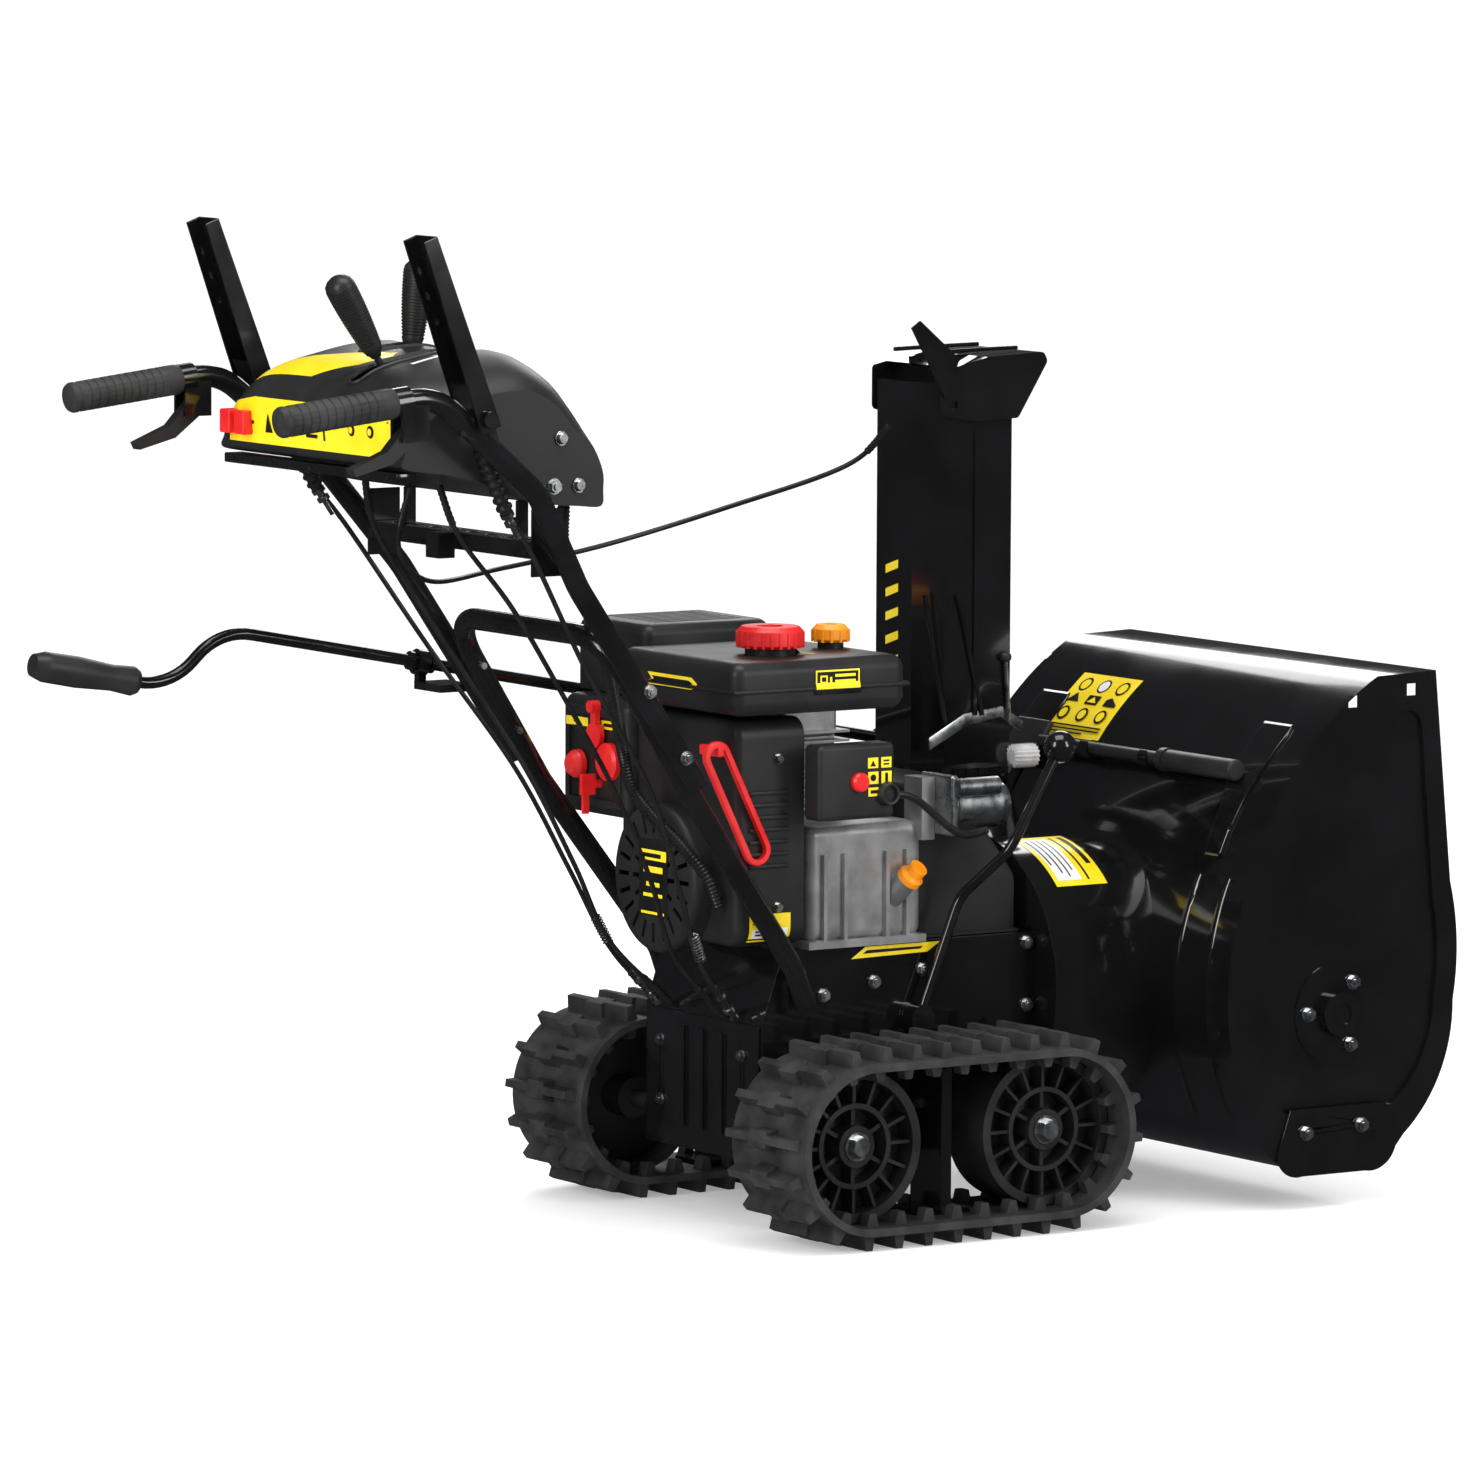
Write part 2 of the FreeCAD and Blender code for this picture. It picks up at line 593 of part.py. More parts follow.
def skid_shoe():
    """A bent runner bolted outside each side plate through two slots."""
    x0, thick = S.housing_width / 2, S.skid_thick
    wire = profile_wire([side_point(562, 66), (side_point(574, 44), side_point(598, 39)),
                         side_point(690, 39),
                         (side_point(716, 43), side_point(734, 66)), side_point(716, 118),
                         side_point(580, 118)])
    plate = side_prism(wire, x0, x0 + thick)
    sole = block(x0 - 14, x0 + thick, 598, 690, 39, 39 + thick)
    return drilled(plate.fuse(sole))


def scraper_bar():
    bar_wide, thick = S.scraper_wide, S.scraper_thick
    half = S.housing_width / 2 - S.plate_thick
    z = S.scraper_top_z - thick
    plate = block(-half, half, S.auger_y - 6, S.auger_y - 6 + bar_wide, z, z + thick)
    feature("scraper_bar", drilled(plate))


# ---------------------------------------------------------------- impeller, drum and auger
def collar_solid(radius_offset, lift=0.0):
    """The leaning outlet from the drum up to the chute's ring."""
    low = Part.Wire(Part.makeCircle(S.collar_radius - 8 + radius_offset, Vector(-66, 416, 330 - lift), Z))
    top = Part.Wire(Part.makeCircle(S.collar_radius + radius_offset,
                                    Vector(S.chute_x, S.chute_y, S.chute_base_z + lift), Z))
    return Part.makeLoft([low, top], True, True)


def impeller_drum():
    wall, rear = S.plate_thick, S.case_front_y
    centre = Vector(0, rear, S.impeller_z)
    tube_long = 250
    outer = cylinder(S.drum_radius, tube_long, centre, Y)
    inner = cylinder(S.drum_radius - wall, tube_long, centre + Y * wall, Y)
    scoop = side_prism(scoop_wire(), -200, 200)
    drum = outer.cut(inner).cut(scoop)
    drum = drum.fuse(collar_solid(0).cut(outer)).cut(collar_solid(-wall, 1.0))
    flange = cylinder(S.collar_radius + 10, 4, Vector(S.chute_x, S.chute_y, S.chute_base_z - 4), Z)
    flange = flange.cut(cylinder(S.collar_radius - wall / 2, 10,
                                 Vector(S.chute_x, S.chute_y, S.chute_base_z - 7), Z))
    drum = drum.fuse(flange)
    bearing = cylinder(30, 14, centre, Y)
    bore = cylinder(S.impeller_shaft_radius + S.running_clearance, 60, centre - Y * 20, Y)
    lip = cylinder(S.drum_radius + 8, 4, centre, Y).cut(cylinder(S.drum_radius - 1, 6, centre - Y, Y))
    drum = drum.multiFuse([bearing, lip]).cut(bore)
    feature("impeller_drum", drum)


def impeller():
    """Four swept blades on a hub and the shaft that also carries the drive pulley."""
    y0 = S.case_front_y + 24
    centre = Vector(0, y0, S.impeller_z)
    radius = S.drum_radius - S.impeller_gap
    hub = cylinder(28, S.impeller_long * 0.8, centre, Y)
    pieces = [hub]
    for i in range(4):
        blade = block(-2, 2, y0, y0 + S.impeller_long, S.impeller_z + 20, S.impeller_z + radius)
        lip = block(-2, 22, y0, y0 + S.impeller_long, S.impeller_z + radius - 6, S.impeller_z + radius - 2)
        pieces += [turned(piece, 45 + 90 * i, centre, Y) for piece in (blade, lip)]
    start = 226
    gearbox_rear = S.auger_y - 66
    shaft = cylinder(S.impeller_shaft_radius, gearbox_rear - start + 12, Vector(0, start, S.impeller_z), Y)
    rim = cylinder(radius + 10, S.impeller_long + 20, centre - Y * 10, Y)
    rim = rim.cut(cylinder(radius - 0.5, S.impeller_long + 20, centre - Y * 10, Y))
    pulley_centre = Vector(0, 228, S.impeller_z)
    pulley = cylinder(S.auger_pulley_radius, 16, pulley_centre, Y)
    groove = Part.makeCone(S.auger_pulley_radius - 9, S.auger_pulley_radius + 1, 6,
                           pulley_centre + Y * 8, Y)
    groove = groove.fuse(Part.makeCone(S.auger_pulley_radius + 1, S.auger_pulley_radius - 9, 6,
                                       pulley_centre + Y * 2, Y))
    core = cylinder(S.auger_pulley_radius - 9, 16, pulley_centre, Y)
    pulley = pulley.cut(groove).fuse(core)
    feature("impeller", union(pieces + [shaft, pulley]).cut(rim))


def auger_gearbox():
    centre = Vector(0, S.auger_y, S.auger_z)
    half = S.gearbox_half_width
    case = cylinder(52, 2 * half, centre - X * half, X)
    nose = cylinder(30, 66, Vector(0, S.auger_y - 66, S.impeller_z), Y)
    bosses = cylinder(30, 2 * half + 12, centre - X * (half + 6), X)
    bore = cylinder(S.auger_shaft_radius + S.running_clearance, 4 * half, centre - X * 2 * half, X)
    input_bore = cylinder(S.impeller_shaft_radius + S.running_clearance, 13,
                          Vector(0, S.auger_y - 67, S.impeller_z), Y)
    feature("auger_gearbox", union([case, nose, bosses]).cut(bore).cut(input_bore))


def flight(side):
    """One spiral ribbon with a serrated edge, on spokes from the shaft."""
    inner = S.gearbox_half_width + 22
    outer = S.housing_width / 2 - S.pan_depth - 16
    length = outer - inner
    pitch = length / 1.1
    radius = S.auger_radius
    steps = 36
    pieces = []
    centre = Vector(0, S.auger_y, S.auger_z)
    for strip in range(steps):
        share = strip / steps
        angle = side * 360 * 1.1 * share
        x = side * (inner + length * share)
        wide = math.tau * radius * 1.1 / steps * 1.12
        piece = block(-S.flight_thick / 2, S.flight_thick / 2, -wide / 2, wide / 2,
                      radius - S.flight_wide, radius - 2)
        lean = math.degrees(math.atan2(pitch, math.tau * radius))
        piece.rotate(Vector(), Z, lean)
        piece.translate(Vector(x, S.auger_y, S.auger_z))
        pieces.append(turned(piece, angle, centre, X))
    for share in (0.12, 0.5, 0.88):
        angle = side * 360 * 1.1 * share
        x = side * (inner + length * share)
        spoke = block(x - 8, x + 8, S.auger_y - 8, S.auger_y + 8, S.auger_z,
                      S.auger_z + radius - S.flight_wide + 6)
        pieces.append(turned(spoke, angle, centre, X))
    return pieces


def auger():
    half = S.housing_width / 2 - S.pan_depth + 14
    centre = Vector(0, S.auger_y, S.auger_z)
    shaft = cylinder(S.auger_shaft_radius, 2 * half, centre - X * half, X)
    sleeves = []
    for side in (-1, 1):
        start = centre + X * side * (S.gearbox_half_width + 8)
        sleeves.append(cylinder(20, S.housing_width / 2 - S.pan_depth - S.gearbox_half_width - 18,
                                start, X * side))
    feature("auger", shaft.multiFuse(sleeves + flight(-1) + flight(1)))


def crankshaft():
    body = revolved("crankshaft", crank_section())
    place(body, "0", "-58", "Sizes.crank_axis_z", Rotation(X, -90))


def crank_section():
    """Flywheel at the rear, shaft, and the grooved drive pulley at the front."""
    pulley = "Sizes.engine_pulley_radius"
    return [("0", "0"), ("64", "0"), ("64", "14"), ("12", "14"), ("12", "284"), (pulley, "284"),
            (pulley, "287"),
            (pulley + " - 9", "291"), (pulley + " - 9", "293"), (pulley, "297"), (pulley, "300"),
            ("12", "300"),
            ("12", "306"), ("0", "306")]


# ---------------------------------------------------------------- chute
def chute_section(grow=0.0):
    """The chute's plan outline about its own axis: a back, two slanting corners and two sides."""
    half, back, front = S.chute_half_width + grow, S.chute_back + grow, S.chute_front
    cut = S.chute_chamfer + grow * 0.41
    return [(half, front), (half, -back + cut), (half - cut, -back), (-half + cut, -back),
            (-half, -back + cut), (-half, front)]


def upright_prism(corners, z0, z1):
    """A plan outline about the chute's axis, as a solid between two heights."""
    points = [Vector(S.chute_x + x, S.chute_y + y, z0) for x, y in corners]
    return Part.Face(Part.makePolygon(points + points[:1])).extrude(Vector(0, 0, z1 - z0))


def chute():
    wall, base = S.chute_wall, S.chute_base_z + S.ring_gear_thick
    outer = upright_prism(chute_section(), base, S.chute_top_z)
    inner = [(x * (1 - wall / S.chute_half_width), y) for x, y in chute_section(-wall)]
    inner[0], inner[-1] = (inner[0][0], 200), (inner[-1][0], 200)
    shell = outer.cut(upright_prism(inner, base - 1, S.chute_top_z + 1))
    slope = polygon_prism(((318, 2000), (318, S.chute_top_z + 3), (440, S.chute_top_z - 22), (520, 920),
                           (520, 2000)),
                          -400, 200)
    front_lip = upright_prism([(S.chute_half_width, S.chute_front),
                               (S.chute_half_width, S.chute_front - wall),
                               (-S.chute_half_width, S.chute_front - wall),
                               (-S.chute_half_width, S.chute_front)],
                              base, base + 34)
    beads = [upright_prism([(side * (S.chute_half_width + 3), -8), (side * (S.chute_half_width + 3), -2),
                            (side * (S.chute_half_width - 1), -2), (side * (S.chute_half_width - 1), -8)],
                           base + 60, S.chute_top_z - 60) for side in (-1, 1)]
    centre = Vector(S.chute_x, S.chute_y, S.chute_base_z + 0.3)
    ring = cylinder(S.ring_gear_radius, S.ring_gear_thick, centre, Z)
    tooth_angle = 360 / S.ring_gear_teeth
    notch = cylinder(2.6, 40, centre + X * S.ring_gear_radius - Z * 10, Z)
    ring = ring.cut(cylinder(S.collar_radius - 8, 40, centre - Z * 10, Z))
    ring = ring.cut(Part.makeCompound([turned(notch, tooth_angle * i, centre, Z)
                                       for i in range(int(S.ring_gear_teeth))]))
    hinge = [cylinder(5.5, 4.5, hood_pivot() + X * side * S.chute_half_width, X * side) for side in (-1, 1)]
    body = shell.cut(slope).multiFuse([front_lip, ring] + beads + hinge)
    feature("chute", body)


def hood_pivot():
    return Vector(S.chute_x, S.chute_y - S.chute_back + 34, S.hood_pivot_z - 26)


def chute_hood():
    """The deflector: a roof and two side walls hanging outside the chute, hinged near its back."""
    half, gap, wall = S.chute_half_width, S.hood_gap, S.chute_wall
    x0, x1 = S.chute_x - half - gap - wall - 3, S.chute_x + half + gap + wall + 3
    rear, reach = S.chute_y - S.chute_back + 16, S.hood_reach
    top = S.chute_top_z + 14
    corners = ((rear, top), (rear + reach * 0.45, top + 15), (rear + reach, top + 19),
               (rear + reach + 6, top + 8),
               (rear + reach - 36, top - 58), (rear + 46, top - 60), (rear, top - 52))
    outer = rounded(polygon_prism(corners, x0, x1), 7, lambda e: e.BoundBox.XLength > 50)
    inner = polygon_prism(((rear - 20, top - wall), (rear + reach * 0.45, top + 15 - wall),
                           (rear + reach + 1, top + 19 - wall),
                           (rear + reach + 40, top - 80), (rear - 20, top - 80)), x0 + wall, x1 - wall)
    hood = outer.cut(inner)
    ribs = [block(x - 3, x + 3, rear + 10, rear + reach - 30, top - 1, top + 16)
            for x in (S.chute_x - 28, S.chute_x + 28)]
    roof = polygon_prism(((rear + 24, top + 12), (rear + reach * 0.45, top + 21),
                          (rear + reach - 20, top + 22),
                          (rear + reach - 20, top + 15), (rear + reach * 0.45, top + 12),
                          (rear + 24, top)), -400, 300)
    hood = hood.multiFuse([rib.common(roof) for rib in ribs])
    pivot = hood_pivot()
    arm = polygon_prism(((pivot.y - 14, pivot.z + 8), (pivot.y - 62, top + 52),
                         (pivot.y - 50, top + 60), (pivot.y + 6, top + 14)),
                        x1, x1 + 3)
    hood = union([hood, arm])
    hole = cylinder(5.5 + S.running_clearance, 400, pivot - X * 200, X)
    feature("chute_hood", hood.cut(hole))


# ---------------------------------------------------------------- chute crank
def crank_line():
    """Where the crank's rod passes the worm and its eye on the handle, and the way it points."""
    worm = Vector(S.chute_x - S.ring_gear_radius - S.worm_radius - 0.6, S.chute_y, S.chute_base_z + 24)
    eye = Vector(-S.grip_x - 16, -261, 635)
    return worm, eye, (eye - worm).normalize()


def chute_crank():
    worm, eye, way = crank_line()
    bend = eye + way * 266
    down = (way.cross(X)).normalize() * (1 if way.cross(X).z < 0 else -1)
    drop = bend + way * 52 + down * S.crank_drop
    end = drop + way * (S.crank_grip_long + 50)
    path = path_wire([worm - way * 40, bend, drop, end])
    rod = round_sweep(path, S.crank_radius)
    worm_core = cylinder(S.worm_radius - 4, 64, worm - way * 32, way)
    turns = [cylinder(S.worm_radius, 4, worm + way * (11 * i - 2), way) for i in (-2, -1, 0, 1, 2)]
    collar = [cylinder(11, 5, eye + way * offset, way) for offset in (-16, 11)]
    feature("chute_crank", rod.multiFuse([worm_core] + turns + collar))
    grip_start = drop + way * 44
    body = revolved("chute_crank_grip", [
        ("Sizes.crank_radius", "0"), ("14", "0"), ("17", "6"), ("15", "Sizes.crank_grip_long * 0.25"),
        ("18", "Sizes.crank_grip_long * 0.6"), ("17.5", "Sizes.crank_grip_long - 8"),
        ("13", "Sizes.crank_grip_long + 6"), ("0", "Sizes.crank_grip_long + 6"),
        ("0", "Sizes.crank_grip_long"), ("Sizes.crank_radius", "Sizes.crank_grip_long")])
    body.Placement = Placement(grip_start - Y * S.origin_y, Rotation(Z, way))
    SUBPARTS[-2].Shape = trimmed(SUBPARTS[-2].Shape, grip_start + way * S.crank_grip_long, way)


def trimmed(shape, at, way):
    """Cuts off what lies beyond a point."""
    return shape.cut(cylinder(60, 400, at, way))


def crank_bracket():
    worm, eye, way = crank_line()
    ring = cylinder(15, 14, eye - way * 7, way).cut(cylinder(S.crank_radius + 0.1, 40, eye - way * 20, way))
    arm = block(eye.x - 4, -tube_x(eye.y) - S.tube_radius + 4, eye.y - 6, eye.y + 38, eye.z - 31,
                eye.z - 22)
    arm = arm.fuse(block(eye.x - 5, eye.x + 5, eye.y - 5, eye.y + 5, eye.z - 24, eye.z - 12))
    return ring, arm


# ---------------------------------------------------------------- engine
def cap_profile(radius, high):
    return [("0", "0"), (f"{radius} - 3", "0"), (radius, "3"), (radius, f"{high} - 5"),
            (f"{radius} - 5", high),
            (f"{radius} * 0.4", high), (f"{radius} * 0.4", f"{high} - 3"), ("0", f"{high} - 3")]


def ribbed_cap(label, radius, high, count):
    """A screw cap with finger ribs round its edge."""
    body = revolved(label, cap_profile(radius, high))
    corners = [(f"{radius} - 1", "-2"), (f"{radius} + 1.5", "-1.2"), (f"{radius} + 1.5", "1.2"),
               (f"{radius} - 1", "2")]
    ribbed(body, corners, f"{high} - 6", count, "_ribs")
    return body


def engine_block():
    axis, deck = S.crank_axis_z, S.deck_z
    case = rounded(block(-105, 122, 30, 188, deck + 6, axis + 62), 12)
    foot = block(-112, S.engine_right_x, 26, S.deck_front_y - 4, deck, deck + 9)
    pads = [cylinder(11, 10, Vector(x, y, deck), Z) for x in (-98, 116) for y in (42, 172)]
    cylinder_block = block(-130, -20, 52, 160, axis + 30, 560)
    fins = [block(-150, 0, 44, 168, z, z + 3) for z in range(int(axis) + 66, 556, 11)]
    head = rounded(block(-136, -14, 50, 162, 548, 594), 8)
    sump_ribs = [block(118, S.engine_right_x - 2, y - 2.5, y + 2.5, deck + 4, axis + 30)
                 for y in (50, 78, 136, 164)]
    neck = bar(13, Vector(112, 150, 372), Vector(136, 158, 396))
    starter_foot = block(98, 134, 178, 196, 440, 512)
    boss = cylinder(30, 16, Vector(0, 186, axis), Y)
    body = union([case, foot, cylinder_block, head, neck, boss, starter_foot] + fins + pads + sump_ribs)
    way = Vector(24, 8, 24).normalize()
    filler = Vector(136, 158, 396)
    body = body.cut(cylinder(4, 58, filler - way * 56, way))
    body = body.cut(cylinder(16, 30, filler, way))
    shaft = cylinder(12 + S.running_clearance, 300, Vector(0, -20, axis), Y)
    feature("engine_block", drilled(body.cut(shaft)))


def engine_shroud():
    """The blower housing behind the block, round at the right and open to the recoil cover."""
    rear, depth, wall = S.engine_rear_y, S.shroud_depth - 8, S.shroud_wall
    outer = rounded(block(-112, 133, rear, rear + depth, 330, 590), 22, lambda e: e.BoundBox.YLength > 50)
    outer = rounded(outer, 10, lambda e: e.BoundBox.YLength < 1 and abs(e.BoundBox.YMin - rear) < 1)
    inner = rounded(block(-112 + wall, 133 - wall, rear + wall, rear + depth + 1, 330 + wall,
                          590 - wall), 19,
                    lambda e: e.BoundBox.YLength > 50)
    shell = outer.cut(inner).cut(cylinder(S.recoil_radius - 4, 40, Vector(0, rear - 10, S.crank_axis_z), Y))
    feature("engine_shroud", shell.cut(block(-200, 200, rear + depth - 12, rear + depth + 2, 320, 600)))


def recoil_cover():
    """A domed round cover with cooling slots, open inside for the rope pulley."""
    rear, radius, wall = S.engine_rear_y, S.recoil_radius + 6, 3.0
    centre = Vector(0, rear, S.crank_axis_z)
    dome = rounded(cylinder(radius, 26, centre, -Y), 9, lambda e: abs(e.BoundBox.YMin - (rear - 26)) < 0.1)
    dome = dome.cut(cylinder(radius - wall, 26 - wall, centre, -Y))
    slots = []
    for inner, outer, count in ((24, 44, 12), (52, 74, 20)):
        slot = block(-2.6, 2.6, rear - 40, rear - 15, S.crank_axis_z + inner, S.crank_axis_z + outer)
        slots += [turned(slot, 360 * i / count, centre, Y) for i in range(count)]
    feature("recoil_cover", dome.cut(Part.makeCompound(slots)))


def fuel_tank():
    x0, x1 = S.tank_left_x, S.tank_left_x + 248
    z0, z1 = S.tank_bottom_z, S.tank_bottom_z + S.tank_high
    outer = rounded(block(x0, x1, -103, -103 + S.tank_long, z0, z1), 16)
    inner = rounded(block(x0 + 4, x1 - 4, -99, -107 + S.tank_long, z0 + 4, z1 - 4), 12)
    seam = rounded(block(x0 - 2, x1 + 2, -105, -101 + S.tank_long, z0 + 26, z0 + 31), 2)
    neck = cylinder(S.fuel_cap_radius - 9, 12, Vector(90, -3, z1 - 4), Z)
    mouth = cylinder(S.fuel_cap_radius - 13, 30, Vector(90, -3, z1 - 12), Z)
    oil_neck = cylinder(S.oil_cap_radius - 6, 10, Vector(60, 100, z1 - 3), Z)
    feature("fuel_tank", union([outer, seam, neck, oil_neck]).cut(inner).cut(mouth))


def engine_caps():
    top = "Sizes.tank_bottom_z + Sizes.tank_high"
    cap = ribbed_cap("fuel_cap", "Sizes.fuel_cap_radius", "24", "24")
    place(cap, "90", "-3", top + " + 8.4")
    cap = ribbed_cap("oil_cap", "Sizes.oil_cap_radius", "20", "12")
    place(cap, "60", "100", top + " + 7.4")
    stick = revolved("dipstick", [("0", "-52"), ("3", "-52"), ("3", "0.4"), ("15", "0.4"), ("15", "8"),
                                  ("11", "12"),
                                  ("11", "22"), ("0", "22")])
    way = Vector(24, 8, 24).normalize()
    stick.Placement = Placement(Vector(136, 158 - S.origin_y, 396) , Rotation(Z, way))


def muffler_guard():
    """The slotted heat guard at the left, with the silencer inside it."""
    x0, x1, y0, y1, z0, z1 = S.guard_left_x, S.tank_left_x - 6, -60, 116, 598, 682
    outer = rounded(block(x0, x1, y0, y1, z0, z1), 14, lambda e: e.BoundBox.ZMax > z1 - 2 or upright(e))
    inner = block(x0 + 2.5, x1 - 2.5, y0 + 2.5, y1 - 2.5, z0 - 1, z1 - 2.5)
    shell = outer.cut(rounded(inner, 11.5, lambda e: e.BoundBox.ZMax > z1 - 4 or upright(e)))
    slots = [block(x, x + 6, y0 + 28, y1 - 28, z1 - 10, z1 + 10)
             for x in range(int(x0) + 24, int(x1) - 24, 14)]
    slots += [block(x0 - 10, x0 + 10, y, y + 6, z0 + 20, z1 - 24)
              for y in range(int(y0) + 28, int(y1) - 28, 14)]
    shell = shell.cut(Part.makeCompound(slots))
    silencer = rounded(block(x0 + 14, x1 - 14, y0 + 16, y1 - 16, z0 + 4, z1 - 16), 14)
    feature("muffler_guard", Part.makeCompound([shell, silencer]))


def engine_control_panel():
    """The carburettor cover, whose rear face carries the primer, throttle, key and choke."""
    face = panel_face()
    outer = rounded(block(-214, -72, face, face + 56, 458, 596), 14)
    inner = rounded(block(-211, -75, face + 3, face + 90, 461, 593), 11)
    shell = outer.cut(inner)
    bezel = rounded(block(-202, -84, face - 3, face + 2, 468, 584), 2)
    body = shell.fuse(bezel.cut(block(-192, -94, face - 10, face + 1, 478, 574)))
    for place_x, place_z, radius in ((-190, 516, 7.2), (-150, 552, 6.2), (-150, 496, 5.2),
                                     (-122, 524, 6.2)):
        body = body.cut(cylinder(radius, 40, Vector(place_x + 20, face - 20, place_z), Y))
    body = body.cut(block(-112.4, 133, S.engine_rear_y - 0.3, 60, 400, 660))
    feature("engine_control_panel", body)


def panel_face():
    return -92.0


def panel_controls():
    """Primer bulb, throttle lever, ignition key, choke knob and the recoil starter's handle."""
    face = str(panel_face())
    primer = revolved("primer_bulb", [("0", "-14"), ("7", "-14"), ("7", "3.2"), ("17", "3.2"),
                                      ("16", "10"), ("11", "17"),
                                      ("0", "20")])
    place(primer, "-170", face, "516", Rotation(X, 90))
    choke = revolved("choke_knob", [("0", "-14"), ("6", "-14"), ("6", "3.2"), ("22", "3.2"),
                                    ("22", "10"), ("18", "13"),
                                    ("0", "13")])
    place(choke, "-102", face, "524", Rotation(X, 90))
    throttle = union([cylinder(6, 20, Vector(0, -4, 0), Y), cylinder(15, 7, Vector(0, -10.4, 0), Y),
                      block(-5, 5, -10.4, -3.4, 4, 34), cylinder(7, 12, Vector(0, -15.4, 34), Y)])
    throttle.translate(Vector(-130, panel_face(), 552))
    feature("throttle_lever", throttle)
    key = union([cylinder(5, 22, Vector(0, -8, 0), Y), block(-3, 3, -26, -8, -12, 12),
                 block(-2, 2, -24, -16, -34, -12)])
    key.translate(Vector(-130, panel_face(), 496))
    feature("ignition_key", key)


def recoil_handle():
    """The loop grip of the pull starter, hanging beside the shroud from the rope's eyelet."""
    thick, half, strand, long, lean = 8, 18, 7, 122, 26.6
    top = Vector(S.engine_right_x + 6, S.engine_rear_y - 32, 552)

    def racetrack(radius, x, wide):
        ends = [cylinder(radius, wide, Vector(x, top.y, z), X) for z in (top.z, top.z - long)]
        return union(ends + [block(x, x + wide, top.y - radius, top.y + radius, top.z - long, top.z)])

    loop = rounded(racetrack(half, top.x, thick), 2.5).cut(racetrack(half - strand, top.x - 1, thick + 2))
    loop = turned(loop, lean, top, X)
    eyelet = Vector(top.x - 24, S.engine_rear_y - 0.5, top.z + 6)
    stub = cylinder(5, 30, eyelet, -Y)
    bridge = rounded(block(eyelet.x - 7, top.x + thick, eyelet.y - 33, eyelet.y - 23, eyelet.z - 6,
                           eyelet.z + 6), 2.5)
    feature("recoil_handle", loop.multiFuse([stub, bridge]))


def starter_motor():
    start = Vector(136, 196.3, 478)
    body = cylinder(S.starter_radius, S.starter_long * 0.72, start, Y)
    nose = cylinder(S.starter_radius - 6, 14, start + Y * (S.starter_long * 0.72), Y)
    band = cylinder(S.starter_radius + 2, 6, start + Y * 12, Y)
    solenoid = cylinder(11, 58, start + Vector(30, 6, 24), Y)
    cover = rounded(block(104, 168, 186.0 + 10.3, 206, 446, 516), 3)
    feature("starter_motor", union([body, nose, band, solenoid, cover]))


def starter_switch_box():
    box = DOC.addObject("Part::Box", "switch_box_blank")
    for name, size in (("Length", "34"), ("Width", "Sizes.switch_box_long"), ("Height", "86")):
        box.setExpression(name, size)
    button_hole = DOC.addObject("Part::Cylinder", "switch_button_hole")
    for name, size in (("Radius", "11.3"), ("Height", "20")):
        button_hole.setExpression(name, size)
    button_hole.Placement = Placement(Vector(21, 54, 43), Rotation(Y, 90))
    DOC.recompute()
    soft = DOC.addObject("Part::Fillet", "switch_box_soft")
    soft.Base = box
    soft.Edges = [(i + 1, 6.0, 6.0) for i in range(len(box.Shape.Edges))]
    cut = DOC.addObject("Part::Cut", "starter_switch_box")
    cut.Base, cut.Tool = soft, button_hole
    cut.Label = "starter_switch_box"
    SUBPARTS.append(cut)
    place(cut, "154", "0", "476")


def starter_button():
    button = revolved("starter_button", [("0", "0"), ("11", "0"), ("11", "12"), ("9", "15"), ("0", "15")])
    place(button, "181", "54", "519", Rotation(Y, 90))


def belt_cover():
    """The plastic cover over the two pulleys and the belt, standing on the case."""
    y0, top = S.deck_front_y + 2, S.crank_axis_z + 100
    corners = ((y0, S.deck_z + 1), (336, S.deck_z + 1), (336, 392), (300, 440), (286, top), (y0, top))
    outer = rounded(polygon_prism(corners, -84, 94), 9, lambda e: e.BoundBox.ZMin > S.deck_z + 5)
    wall = 3.0
    inner = polygon_prism(((y0 + wall, S.deck_z), (336 - wall, S.deck_z), (336 - wall, 391),
                           (300 - wall, 439),
                           (286 - wall, top - wall), (y0 + wall, top - wall)), -84 + wall, 94 - wall)
    crank = cylinder(34, 20, Vector(0, y0 - 8, S.crank_axis_z), Y)
    flange = block(-94, 104, y0, 336, S.deck_z + 0.2,
                   S.deck_z + 3.2).cut(block(-81, 91, y0 + wall, 330, 300, 340))
    notch = cylinder(S.starter_radius + 4, 200, Vector(136, 190, 478), Y)
    feature("belt_cover", drilled(union([outer.cut(inner), flange]).cut(crank).cut(notch)))


# ---------------------------------------------------------------- handles
def tube_x(y):
    """How far out the handle tube runs at a given Y."""
    lower, upper = S.leg_x + 2 * S.tube_radius, S.grip_x
    share = min(max((-y - 300) / 160.0, 0.0), 1.0)
    return lower + (upper - lower) * share


def lower_handle():
    """An inverted U of tube whose legs stand beside the case."""
    top_y, top_z = -275, 697
    foot_x, leg = S.case_half_width + 22, S.leg_x
    path = [Vector(-foot_x, 12, 262), Vector(-foot_x, -2, 300), Vector(-leg, -150, 500),
            Vector(-leg, top_y, top_z),
            Vector(leg, top_y, top_z), Vector(leg, -150, 500), Vector(foot_x, -2, 300),
            Vector(foot_x, 12, 262)]
    hoop = round_sweep(path_wire(path, 0.45, 60), S.tube_radius)
    foot = block(S.case_half_width, foot_x - S.tube_radius + 3, -6, 34, 250, 290)
    feet = [foot, mirrored(foot)]
    feature("lower_handle", drilled(hoop.multiFuse(feet)))


